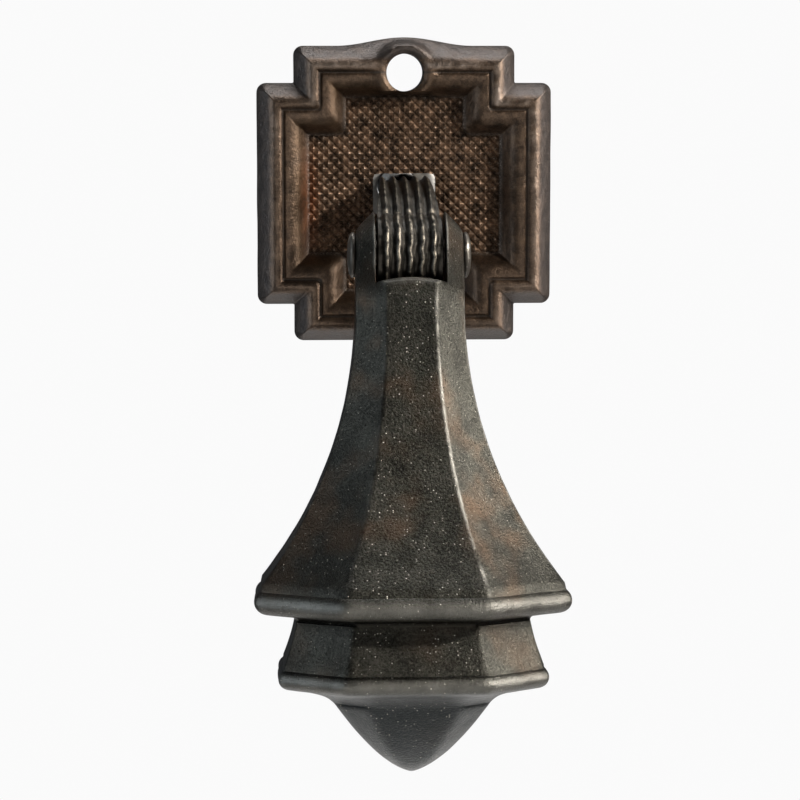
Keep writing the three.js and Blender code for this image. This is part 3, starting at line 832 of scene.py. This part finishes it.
def build_pivot_pin():
    """The rivet: a turned shank between two domes, each a quarter ellipse with hammered flats."""
    half = pin_high[0] / MM
    head = (pin_high[2] - pin_low[2]) / MM / 2
    sizes = settings("drop")
    seat = sizes.top_half
    shank = settings("bolt").bore / 2 - PIN_GAP
    angle = np.linspace(np.pi / 2, 0, 14)
    rise = half - seat
    dome_r = head * np.cos(angle) ** 0.8
    dome_x = seat + rise * (0.3 + 0.7 * np.sin(angle))
    radius = np.concatenate([dome_r, [head * 0.985, head - 0.12, shank], [shank]])
    along = np.concatenate([dome_x, [seat + 0.12, seat + 0.005, seat + 0.005], [0]])
    radius[0] = 0
    radius = np.concatenate([radius, radius[-2::-1]])
    along = np.concatenate([-along, along[-2::-1]])

    def hammered(turn, place):
        outside = ease(np.abs(place), seat, seat + 0.3)
        return -outside * 0.06 * (0.5 + 0.5 * np.sin(5 * turn + place))

    pin = turned("rivet", radius, along, "X", columns=96, wobble=hammered)
    pin.data.transform(hung(sizes))
    rivet = rivet_finish(settings("fixing"))
    settle(pin, "pendant", "pivot_pin", rivet, smooth_angle=40)


def build_washer():
    """The washer: a rounded rectangle of a profile turned about the bolt."""
    outer = washer_high[0] / MM
    inner = settings("bolt").thread / 2 + WASHER_GAP
    front, back = washer_low[1] / MM, washer_high[1] / MM
    soft = WASHER_EDGE
    radius = [inner, inner, inner + soft, outer - soft, outer, outer, outer - soft, inner + soft]
    along = [back - soft, front + soft, front, front, front + soft, back - soft, back, back]
    radius, along = np.array(radius + radius[:1]), np.array(along + along[:1])
    washer = turned("washer_steel", radius, along, "Y", columns=96)
    settle(washer, "mount", "washer", steel_finish("washer"), smooth_angle=50)


def build_nut():
    """The nut: at each angle the radius is the lesser of a hexagon's and a chamfering cone's."""
    flats = (nut_high[0] - nut_low[0]) / MM / 2
    front, back = nut_low[1] / MM, nut_high[1] / MM
    sizes = settings("bolt")
    inner, pitch = sizes.thread / 2 + NUT_GAP, sizes.thread_pitch
    angle = np.linspace(0, 2 * np.pi, 144, endpoint=False)
    hexagon = flats / np.cos(np.mod(angle, np.pi / 3) - np.pi / 6)
    bevel = np.linspace(0, NUT_BEVEL, 7)
    middle = np.linspace(front + 0.6, back - 0.6, 4)
    side = np.concatenate([front + bevel, middle, back - bevel[::-1]])
    cone = flats * 0.97 + np.minimum(side - front, back - side) * 1.9
    skin = np.minimum(hexagon[None, :], cone[:, None])
    bore = np.linspace(back - 0.25, front + 0.25, 40)
    phase = np.mod(bore[:, None] / pitch - angle[None, :] / (2 * np.pi), 1)
    wall = inner + NUT_THREAD * np.abs(2 * phase - 1)
    mouth = np.full((1, len(angle)), inner + 0.3)
    reach = np.concatenate([mouth, skin, mouth, wall, mouth])
    place = np.concatenate([[front], side, [back], bore, [front]])[:, None]
    points = zipped(reach * np.cos(angle), place, reach * np.sin(angle))
    faces = grid_faces(*reach.shape, wrap_columns=True).tolist()
    nut = object_of(mesh_of("nut_steel", points, faces))
    settle(nut, "mount", "hex_nut", steel_finish("nut"), smooth_angle=30)


# ---- Shader expressions ----


class Wire:
    """A number at some place in a material. Arithmetic on it adds Math nodes."""

    def __init__(self, finish, socket):
        self.finish = finish
        self.socket = socket

    def math(self, operation, *values):
        names = dict(enumerate(values))
        return self.finish.node("ShaderNodeMath", {"operation": operation}, names)

    def __add__(self, other):
        return self.math("ADD", self, other)

    def __sub__(self, other):
        return self.math("SUBTRACT", self, other)

    def __rsub__(self, other):
        return self.math("SUBTRACT", other, self)

    def __mul__(self, other):
        return self.math("MULTIPLY", self, other)

    def __truediv__(self, other):
        return self.math("DIVIDE", self, other)

    def __rtruediv__(self, other):
        return self.math("DIVIDE", other, self)

    def __pow__(self, other):
        return self.math("POWER", self, other)

    def __abs__(self):
        return self.math("ABSOLUTE", self)

    __radd__ = __add__
    __rmul__ = __mul__

    def least(self, other):
        return self.math("MINIMUM", self, other)

    def most(self, other):
        return self.math("MAXIMUM", self, other)

    def ramp(self, start, end):
        """Smooth rise from 0 at start to 1 at end, or a fall where start is the greater."""
        rising = start < end
        return self.finish.node(
            "ShaderNodeMapRange",
            {"interpolation_type": "SMOOTHSTEP"},
            {
                "Value": self,
                "From Min": start if rising else end,
                "From Max": end if rising else start,
                "To Min": 0.0 if rising else 1.0,
                "To Max": 1.0 if rising else 0.0,
            },
        )

    def bump_at(self, centre, width):
        """One at the centre, falling smoothly to nothing at the width's ends."""
        return abs(self - centre).ramp(width, 0.0)


class Finish:
    """One material: its node tree and the few ways in which nodes are added to it."""

    def __init__(self, name):
        self.material = bpy.data.materials.new(name)
        self.material.use_nodes = True
        self.tree = self.material.node_tree
        self.shader = self.tree.nodes["Principled BSDF"]

    def node(self, kind, settings=(), inputs=(), output=0):
        """Adds a node: settings are set first, then its sockets' values or links."""
        made = self.tree.nodes.new(kind)
        for name, value in dict(settings).items():
            setattr(made, name, value)
        for name, value in dict(inputs).items():
            self.feed(made.inputs[name], value)
        return Wire(self, made.outputs[output])

    def feed(self, socket, value):
        """Links a wire to a socket, or sets the socket to a plain value."""
        if isinstance(value, Wire):
            self.tree.links.new(value.socket, socket)
        else:
            socket.default_value = value

    def millimetres(self, rotation=(0, 0, 0), location=(0, 0, 0)):
        """Object coordinates in millimetres, turned and moved to a piece's own frame."""
        place = self.node("ShaderNodeTexCoord", output="Object")
        inputs = {"Vector": place, "Location": location, "Rotation": rotation}
        inputs["Scale"] = (1000, 1000, 1000)
        return self.node("ShaderNodeMapping", {"vector_type": "POINT"}, inputs)

    def split(self, vector):
        """A vector's three numbers."""
        parts = self.node("ShaderNodeSeparateXYZ", inputs={"Vector": vector}).socket.node
        return [Wire(self, parts.outputs[axis]) for axis in "XYZ"]

    def noise(self, place, size, detail=3.0, roughness=0.55, distortion=0.0):
        """Soft blotches of about a size in millimetres."""
        inputs = {"Vector": place, "Scale": 1 / size, "Detail": detail}
        inputs |= {"Roughness": roughness, "Distortion": distortion}
        return self.node("ShaderNodeTexNoise", inputs=inputs)

    def cells(self, place, size, output="Distance"):
        """Scattered grains of about a size: the distance to each, or a colour for each."""
        inputs = {"Vector": place, "Scale": 1 / size}
        return self.node("ShaderNodeTexVoronoi", inputs=inputs, output=output)

    def blend(self, factor, first, second):
        """Mixes two colours, each a link or three numbers."""
        made = self.node("ShaderNodeMix", {"data_type": "RGBA"}, {"Factor": factor}, output=2)
        sockets = [socket for socket in made.socket.node.inputs if socket.type == "RGBA"]
        for socket, value in zip(sockets, (first, second)):
            self.feed(socket, value if isinstance(value, Wire) else (*value, 1.0))
        return made

    def relief(self, height, distance, normal=None):
        """A Bump node: height in millimetres' share of distance, over another bump's normal."""
        inputs = {"Height": height, "Distance": distance * MM, "Strength": 1.0}
        if normal is not None:
            inputs["Normal"] = normal
        return self.node("ShaderNodeBump", inputs=inputs)

    def mottled(self, factor, colour, dark, light):
        """One colour made darker and lighter: between two multiples of it."""
        return self.blend(
            factor, [dark * part for part in colour], [light * part for part in colour]
        )

    def finish(self, **values):
        """Feeds the shader's sockets, named with underscores, and gives the material."""
        for name, value in values.items():
            self.feed(self.shader.inputs[name.replace("_", " ")], value)
        return self.material


def plate_finish(sizes):
    """Brown burnished iron: rubbed crests with painted highlights, painted shade in the grooves,
    ochre patina and painted warm light on the left inner wall, painted light on the field.
    """
    finish = Finish("burnished_brown_iron")
    place = finish.millimetres()
    x, y, z = finish.split(place)
    half, step = sizes.size / 2, sizes.step
    beside, above = abs(x), abs(z)
    arms = (half - beside).least(half - step - above)
    posts = (half - step - beside).least(half - above)
    inset = arms.most(posts)
    height = y * -1.0
    crest_height, field_height = sizes.crest, sizes.field
    field_edge = sizes.frame_width
    front = height.ramp(0.4, 1.1)
    on_field = inset.ramp(field_edge - 0.2, field_edge + 0.1)

    broad = finish.noise(place, 5.0, 4.0, 0.6)
    patchy = finish.noise(place, 1.3, 5.0, 0.65)
    grain = finish.noise(place, 0.16, 3.0, 0.6)
    # Painted highlight on the crests, stronger at the top and on the right where the light falls;
    # partly real wear
    crest = inset.bump_at(CREST_INSET, 0.6) * height.ramp(crest_height - 0.4, crest_height - 0.1)
    crest = crest * (z.ramp(2.0, 11.0) * 0.7 + 0.3)
    rubbed = crest * (broad.ramp(0.35, 0.65) * 0.4 + patchy.ramp(0.45, 0.70) * 0.4)
    rubbed = rubbed * (x.ramp(-10.0, 10.0) * 0.5 + 0.5)
    points = height.ramp(field_height - 0.2, field_height - 0.05)
    points = points * inset.ramp(field_edge - 0.3, field_edge)
    rubbed = rubbed.most(points * grain.ramp(0.48, 0.66) * 0.8)
    # Painted shade: darkens the groove, the foot of the inner wall and the diamonds' grooves
    crease_shade = inset.bump_at(GROOVE_INSET, 0.2) * 0.8
    foot = inset.bump_at(field_edge - 0.05, 0.5) * 0.7
    grooves = on_field * height.ramp(field_height - 0.2, field_height - 0.4)
    shade_in_hollows = crease_shade.most(foot).most(grooves * 0.45) * front
    # Ochre patina only on the left inner wall, where the light falls: patina and painted warm light
    wall = inset.bump_at(INNER_WALL_INSET, 1.0) * x.ramp(6.0, -6.0)
    ochre = wall * (broad.ramp(0.42, 0.62) * 0.5 + 0.5)
    ochre = (ochre + patchy.ramp(0.62, 0.78) * 0.45).least(1.0)
    # Rust at the left of the field, which also paints warm light on the foot of the lit left wall
    rust_and_warm_light = x.bump_at(field_edge - half + 0.1, 1.3) * z.bump_at(-0.5, 7.5)
    rust_and_warm_light = rust_and_warm_light * patchy.ramp(0.30, 0.55) * front

    mottle = (patchy * 0.6 + grain * 0.4).ramp(0.36, 0.66)
    colour = finish.mottled(mottle, sizes.iron, 0.45, 1.35)
    colour = finish.blend(inset.ramp(1.6, 1.0) * 0.7, colour, sizes.edge)
    colour = finish.blend(ochre * 0.7, colour, sizes.patina)
    # Painted light: a copy of the iron 4.8 times brighter lights up the field
    bright = [4.8 * part for part in sizes.iron]
    colour = finish.blend(on_field * mottle * front * 0.8, colour, bright)
    colour = finish.blend(rust_and_warm_light * 0.9, colour, sizes.rust_and_warm_light)
    # Painted shade in the hollows
    colour = finish.blend(shade_in_hollows * (1.15 - patchy * 0.6), colour, sizes.grime)
    # Bare iron and painted highlight on the crests and the diamonds' points
    colour = finish.blend(rubbed, colour, sizes.worn)
    roughness = 0.28 + patchy * 0.2 + shade_in_hollows * 0.2
    pits = finish.cells(place, 0.55).ramp(0.02, 0.16)
    coarse = finish.relief(patchy, 0.14)
    normal = finish.relief(grain * 0.7 + pits * 0.3, 0.06, coarse)
    return finish.finish(
        Base_Color=colour, Metallic=0.75 - shade_in_hollows * 0.3, Roughness=roughness, Normal=normal
    )


def bolt_finish(sizes):
    """Black iron: bright broken crests on the ribs, worn and with painted highlights, wax between
    them and a duller thread.
    """
    finish = Finish("ribbed_black_iron")
    place = finish.millimetres()
    x, y, z = finish.split(place)
    on_eye = ((y + pivot_out) ** 2.0 + (z + pivot_down) ** 2.0) ** 0.5
    radius = sizes.eye_radius
    eye_wave = abs(x.math("COSINE", x * (math.pi / sizes.eye_rib_pitch)))
    neck_wave = abs(x.math("COSINE", x * (math.pi / sizes.neck_rib_pitch)))
    # Painted highlight along the crests of the eye's and the neck's ribs; partly wear
    eye_crest = on_eye.ramp(radius - 0.12, radius) * on_eye.ramp(radius + 0.6, radius + 0.3)
    eye_crest = eye_crest * eye_wave.ramp(0.70, 0.90)
    neck_crest = neck_wave.ramp(0.95, 0.998) * (y + pivot_out).ramp(1.0, 4.0)
    neck_crest = neck_crest * y.ramp(-0.6, -1.4)
    patchy = finish.noise(place, 0.7, 4.0, 0.65)
    grain = finish.noise(place, 0.12, 3.0, 0.6)
    rubbed = (eye_crest.most(neck_crest) * patchy.ramp(0.38, 0.68)).least(1.0) * 0.8
    behind = y.ramp(0.1, 0.6)
    wax = patchy.ramp(0.6, 0.35) * (1 - behind)
    colour = finish.blend(wax, sizes.iron, sizes.grime)
    # Bare iron and painted highlight on the ribs' crests
    colour = finish.blend(rubbed, colour, sizes.worn)
    colour = finish.blend(behind, colour, sizes.shank)
    roughness = 0.32 + patchy * 0.2 - rubbed * 0.06
    normal = finish.relief(grain * 0.5 + patchy * 0.5, 0.10)
    return finish.finish(Base_Color=colour, Metallic=0.85, Roughness=roughness, Normal=normal)


def drop_finish(sizes):
    """Blackened iron: sandy pits and painted glints, rubbed edges and beads with painted
    highlights, painted shade over the tier, a painted cool tint on the finial, warm patches.
    """
    finish = Finish("sandy_blackened_iron")
    lean = drop_lean(sizes)
    move = Matrix.Rotation(lean, 4, "X") @ Vector(-pivot / MM)
    place = finish.millimetres(rotation=(lean, 0, 0), location=tuple(move))
    x, y, z = finish.split(place)
    beside, before = abs(x), abs(y)
    depth = z * -1.0
    top, ear_gap = sizes.top_half, sizes.clevis_half
    lip_depth, flare_depth = sizes.lip_depth, sizes.flare_depth
    bell_depth, tier_top, tier_depth, finial_top = drop_levels(sizes)
    on_tier = depth.ramp(tier_top - 1.05, tier_top + 0.95)
    flat = on_tier * (TIER_FLAT - BELL_FLAT) + BELL_FLAT
    main = beside.most(before)
    bevel = (beside + before) / (flat + 1.0)
    half = main.most(bevel)
    # Painted highlight: the long edges are bright mostly on the right, where the light catches
    # them; partly wear
    edge = abs(main - bevel).ramp(0.22, 0.02) * (x.ramp(-3.0, 3.0) * 0.8 + 0.2)
    edge = edge * depth.ramp(3.0, 5.0) * depth.ramp(flare_depth + 1.6, flare_depth - 1.9)
    # Painted highlight along the ears' inner edges; partly wear
    rim = beside.bump_at(ear_gap + 0.1, 0.24) * depth.ramp(3.0, 1.5)
    patchy = finish.noise(place, 2.6, 5.0, 0.62)
    broad = finish.noise(place, 8.0, 3.0, 0.5)
    sand = finish.noise(place, 0.22, 4.0, 0.7)
    # Beads rubbed bare: partly wear, partly painted highlight
    bead = depth.bump_at(bell_depth, 1.1).most(depth.bump_at(tier_depth, 1.0))
    bead = bead * half.ramp(TIER_HALF - 0.4, TIER_HALF + 0.3)
    # Painted highlight along the lip's edge
    lip = depth.ramp(lip_depth + 0.85, lip_depth + 0.4) * before.ramp(top - 0.55, top - 0.2) * 0.6
    rubbed = edge.most(lip).most(rim) * patchy.ramp(0.36, 0.60) * 0.8
    rubbed = rubbed.most(bead * (patchy.ramp(0.2, 0.8) * 0.5 + 0.42))
    # Painted shade in the crease where the bell's underside meets the tier
    crease_shade = depth.bump_at(tier_top - 0.15, 0.6)
    pits = finish.cells(place, 0.5).ramp(0.20, 0.04) * patchy.ramp(0.35, 0.6)
    # Painted glints: bright specks painted into the colour and the bumps
    painted_glint = finish.cells(place, 0.26, output="Color")
    painted_glint_spots = finish.split(painted_glint)[0].ramp(0.80, 0.93) * finish.cells(place, 0.26).ramp(0.32, 0.1)
    # The ears round the pin are made darker and rougher, with more painted glints
    ear = depth.ramp(lip_depth + 2.1, lip_depth + 0.1) * before.ramp(top + 0.05, top - 0.75)
    painted_glint_spots = painted_glint_spots * patchy.ramp(0.34, 0.54).most(ear)
    warm = broad.ramp(0.48, 0.68) * (1 - depth.ramp(flare_depth - 1.9, flare_depth + 2.1) * 0.6)
    # Painted cool light and shade: the finial is tinted blue-black, as if lit by a cool fill from
    # below
    tip = depth.ramp(finial_top - 3.85, finial_top - 0.85)

    mottle = (patchy * 0.3 + sand * 0.7).ramp(0.36, 0.66)
    colour = finish.mottled(mottle, sizes.iron, 0.3, 1.45)
    colour = finish.blend(warm * 0.5, colour, sizes.patina)
    # Painted cool tint on the finial
    colour = finish.blend(tip * 0.85, colour, sizes.finial)
    colour = finish.blend(ear * 0.35, colour, sizes.ear)
    # Real pits, and painted shade in the crease over the tier
    colour = finish.blend(pits.most(crease_shade * 0.75), colour, sizes.grime)
    # Bare iron and painted highlight on the edges, lip, ears and beads
    colour = finish.blend(rubbed, colour, sizes.worn)
    # Painted glints
    colour = finish.blend(painted_glint_spots * 0.7, colour, sizes.painted_glint)
    roughness = 0.24 + patchy * 0.16 + rubbed * 0.05
    coarse = finish.relief(patchy, 0.10)
    rough = sand * (ear * 1.2 + 0.8)
    normal = finish.relief(rough - pits * 0.5 + painted_glint_spots * 0.6, 0.11, coarse)
    return finish.finish(Base_Color=colour, Metallic=0.95, Roughness=roughness, Normal=normal)


def rivet_finish(sizes):
    """Blackened rivet with bright rubbed patches."""
    finish = Finish("blackened_rivet")
    place = finish.millimetres()
    patchy = finish.noise(place, 0.9, 4.0, 0.65)
    grain = finish.noise(place, 0.15, 3.0, 0.6)
    rubbed = patchy.ramp(0.55, 0.7)
    colour = finish.blend(rubbed * 0.7, sizes.rivet, sizes.rivet_worn)
    normal = finish.relief(grain * 0.4 + patchy * 0.6, 0.08)
    return finish.finish(
        Base_Color=colour, Metallic=0.9, Roughness=0.38 + patchy * 0.2, Normal=normal
    )


def steel_finish(name):
    """Dull plated steel with fine marks from its making and a little tarnish."""
    sizes = settings("fixing")
    finish = Finish(f"dull_steel_{name}")
    place = finish.millimetres()
    patchy = finish.noise(place, 1.4, 4.0, 0.6)
    marks = finish.noise(place, 0.3, 2.0, 0.5, distortion=0.4)
    tarnish = patchy.ramp(0.5, 0.75)
    colour = finish.blend(tarnish * 0.6, sizes.steel, sizes.tarnish)
    normal = finish.relief(marks * 0.5 + patchy * 0.5, 0.03)
    return finish.finish(
        Base_Color=colour, Metallic=1.0, Roughness=0.32 + patchy * 0.2, Normal=normal
    )


# ---- Stage ----


# Each light's place in metres, its width and height, its watts and its tint
LIGHTS = {
    "key": ((0.33, -0.23, 0.19), (0.04, 0.04), 2.2, (1.0, 0.95, 0.88)),
    "side": ((0.42, -0.03, 0.15), (0.12, 0.42), 6.2, (1.0, 0.96, 0.91)),
    "fill": ((-0.40, -0.04, 0.03), (0.20, 0.34), 1.1, (0.80, 0.90, 1.0)),
    "top": ((0.04, 0.13, 0.42), (0.25, 0.10), 1.45, (1.0, 1.0, 1.0)),
    "front": ((-0.02, -0.40, -0.12), (0.30, 0.14), 0.65, (1.0, 0.98, 0.94)),
}
SKY_TINT, SKY_STRENGTH = (0.80, 0.86, 0.92), 0.07
BACKDROP_STRENGTH = 0.96

FLOOR_BELOW = 0.06
FLOOR_SPREAD = 1.6
FLOOR_SHADES = (0.80, 0.80, 0.80), (0.84, 0.84, 0.84)
FLOOR_GLOW = 0.12
FLOOR_FADES_FROM, FLOOR_FADES_TO = 40.0, 150.0

CAMERA_ASIDE, CAMERA_UP = math.radians(-2.5), math.radians(7)
CAMERA_DISTANCE = 0.273
CAMERA_LENS, CAMERA_SENSOR = 123, 36
LOOKED_AT_X, LOOKED_AT_Y = -0.0008, -0.010


def floor_finish():
    """Pale matt floor with faint blotches, which fades out in a ring round the drop pull."""
    finish = Finish("pale_floor")
    place = finish.millimetres()
    shade = finish.noise(place, 60.0, 2.0, 0.5)
    colour = finish.blend(shade, *FLOOR_SHADES)
    x, y, _ = finish.split(place)
    seen = ((x * x + y * y) ** 0.5).ramp(FLOOR_FADES_TO, FLOOR_FADES_FROM)
    finish.finish(Emission_Color=colour, Emission_Strength=FLOOR_GLOW)
    return finish.finish(Base_Color=colour, Roughness=0.6, Alpha=seen)


def area_light(name, target, place, size, power, tint):
    """A rectangular lamp that faces a target."""
    lamp = bpy.data.lights.new(name, "AREA")
    lamp.shape = "RECTANGLE"
    lamp.size, lamp.size_y = size
    lamp.energy = power
    lamp.color = tint
    light = bpy.data.objects.new(name, lamp)
    bpy.context.collection.objects.link(light)
    light.location = place
    light.rotation_euler = (Vector(target) - Vector(place)).to_track_quat("-Z", "Y").to_euler()


def build_world():
    """A dim even sky, which looks like a white backdrop when seen directly."""
    world = bpy.data.worlds.new("studio")
    bpy.context.scene.world = world
    world.use_nodes = True
    nodes, links = world.node_tree.nodes, world.node_tree.links
    background = nodes["Background"]
    background.inputs["Color"].default_value = (*SKY_TINT, 1)
    background.inputs["Strength"].default_value = SKY_STRENGTH
    seen = nodes.new("ShaderNodeBackground")
    seen.inputs["Color"].default_value = (1, 1, 1, 1)
    seen.inputs["Strength"].default_value = BACKDROP_STRENGTH
    path = nodes.new("ShaderNodeLightPath")
    mix = nodes.new("ShaderNodeMixShader")
    links.new(path.outputs["Is Camera Ray"], mix.inputs["Fac"])
    links.new(background.outputs["Background"], mix.inputs[1])
    links.new(seen.outputs["Background"], mix.inputs[2])
    links.new(mix.outputs["Shader"], nodes["World Output"].inputs["Surface"])


def build_stage():
    """The floor below the drop pull, the lights round it and the camera in front."""
    low, high = cad_bounds
    middle = Vector((LOOKED_AT_X, LOOKED_AT_Y, (low[2] + high[2]) / 2))
    mesh = bpy.data.meshes.new("floor")
    corners = [(-1, -1), (1, -1), (1, 1), (-1, 1)]
    below = low[2] - FLOOR_BELOW
    points = [(x * FLOOR_SPREAD, y * FLOOR_SPREAD, below) for x, y in corners]
    mesh.from_pydata(points, [], [(0, 1, 2, 3)])
    floor = object_of(mesh)
    mesh.materials.append(floor_finish())

    for name, lamp in LIGHTS.items():
        area_light(name, middle, *lamp)
    build_world()

    lens = bpy.data.cameras.new("camera")
    lens.lens = CAMERA_LENS
    lens.sensor_width = CAMERA_SENSOR
    lens.clip_start = 0.01
    lens.clip_end = 20
    camera = bpy.data.objects.new("camera", lens)
    bpy.context.collection.objects.link(camera)
    away = Vector((math.sin(CAMERA_ASIDE), -math.cos(CAMERA_ASIDE), math.tan(CAMERA_UP)))
    away.normalize()
    camera.location = middle + away * CAMERA_DISTANCE
    camera.rotation_euler = (-away).to_track_quat("-Z", "Y").to_euler()
    bpy.context.scene.camera = camera
    bpy.context.scene.view_settings.view_transform = "Standard"


# ---- Operators, panel and registration ----


class DROPPULL_OT_backplate(bpy.types.Operator):
    """Makes the stepped backplate with its moulded frame and diamond field"""

    bl_idname = "droppull.backplate"
    bl_label = "Backplate"

    def execute(self, context):
        build_backplate()
        return {"FINISHED"}


class DROPPULL_OT_eye_bolt(bpy.types.Operator):
    """Makes the eye bolt with its ribbed eye and neck and its thread"""

    bl_idname = "droppull.eye_bolt"
    bl_label = "Eye bolt"

    def execute(self, context):
        build_eye_bolt()
        return {"FINISHED"}


class DROPPULL_OT_drop(bpy.types.Operator):
    """Makes the flared eight-sided drop with its clevis, tier and finial"""

    bl_idname = "droppull.drop"
    bl_label = "Drop"

    def execute(self, context):
        build_drop()
        return {"FINISHED"}


class DROPPULL_OT_pivot_pin(bpy.types.Operator):
    """Makes the rivet through the ears and the eye"""

    bl_idname = "droppull.pivot_pin"
    bl_label = "Rivet"

    def execute(self, context):
        build_pivot_pin()
        return {"FINISHED"}


class DROPPULL_OT_fixings(bpy.types.Operator):
    """Makes the washer and the nut on the bolt's thread"""

    bl_idname = "droppull.fixings"
    bl_label = "Washer and nut"

    def execute(self, context):
        build_washer()
        build_nut()
        return {"FINISHED"}


class DROPPULL_OT_stage(bpy.types.Operator):
    """Makes the floor, the lights and the camera"""

    bl_idname = "droppull.stage"
    bl_label = "Stage"

    def execute(self, context):
        build_stage()
        return {"FINISHED"}


class DROPPULL_PT_panel(bpy.types.Panel):
    """Lists the drop pull's settings and its pieces"""

    bl_idname = "DROPPULL_PT_panel"
    bl_label = "Drop pull"
    bl_space_type = "VIEW_3D"
    bl_region_type = "UI"
    bl_category = "Drop pull"

    def draw(self, context):
        for group_name in SETTINGS:
            group = getattr(context.scene, group_name)
            box = self.layout.box()
            for name in group.bl_rna.properties.keys():
                if name not in NOT_SETTINGS:
                    box.prop(group, name)
        for operator in OPERATORS:
            self.layout.operator(operator.bl_idname)


SETTINGS = {
    "drop_pull_plate": PlateSettings,
    "drop_pull_bolt": BoltSettings,
    "drop_pull_drop": DropSettings,
    "drop_pull_fixing": FixingSettings,
}
OPERATORS = (
    DROPPULL_OT_backplate,
    DROPPULL_OT_eye_bolt,
    DROPPULL_OT_drop,
    DROPPULL_OT_pivot_pin,
    DROPPULL_OT_fixings,
    DROPPULL_OT_stage,
)


def register():
    """Adds the settings to the scene, and the operators and the panel to Blender."""
    for group in SETTINGS.values():
        bpy.utils.register_class(group)
    for name, group in SETTINGS.items():
        setattr(bpy.types.Scene, name, PointerProperty(type=group))
    for cls in (*OPERATORS, DROPPULL_PT_panel):
        bpy.utils.register_class(cls)


def unregister():
    """Takes away what register adds."""
    for cls in (DROPPULL_PT_panel, *reversed(OPERATORS)):
        bpy.utils.unregister_class(cls)
    for name, group in SETTINGS.items():
        delattr(bpy.types.Scene, name)
        bpy.utils.unregister_class(group)


def main():
    """Makes every piece and the stage."""
    register()
    bpy.ops.droppull.backplate()
    bpy.ops.droppull.eye_bolt()
    bpy.ops.droppull.drop()
    bpy.ops.droppull.pivot_pin()
    bpy.ops.droppull.fixings()
    bpy.ops.droppull.stage()
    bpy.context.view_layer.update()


if __name__ == "__main__":
    main()
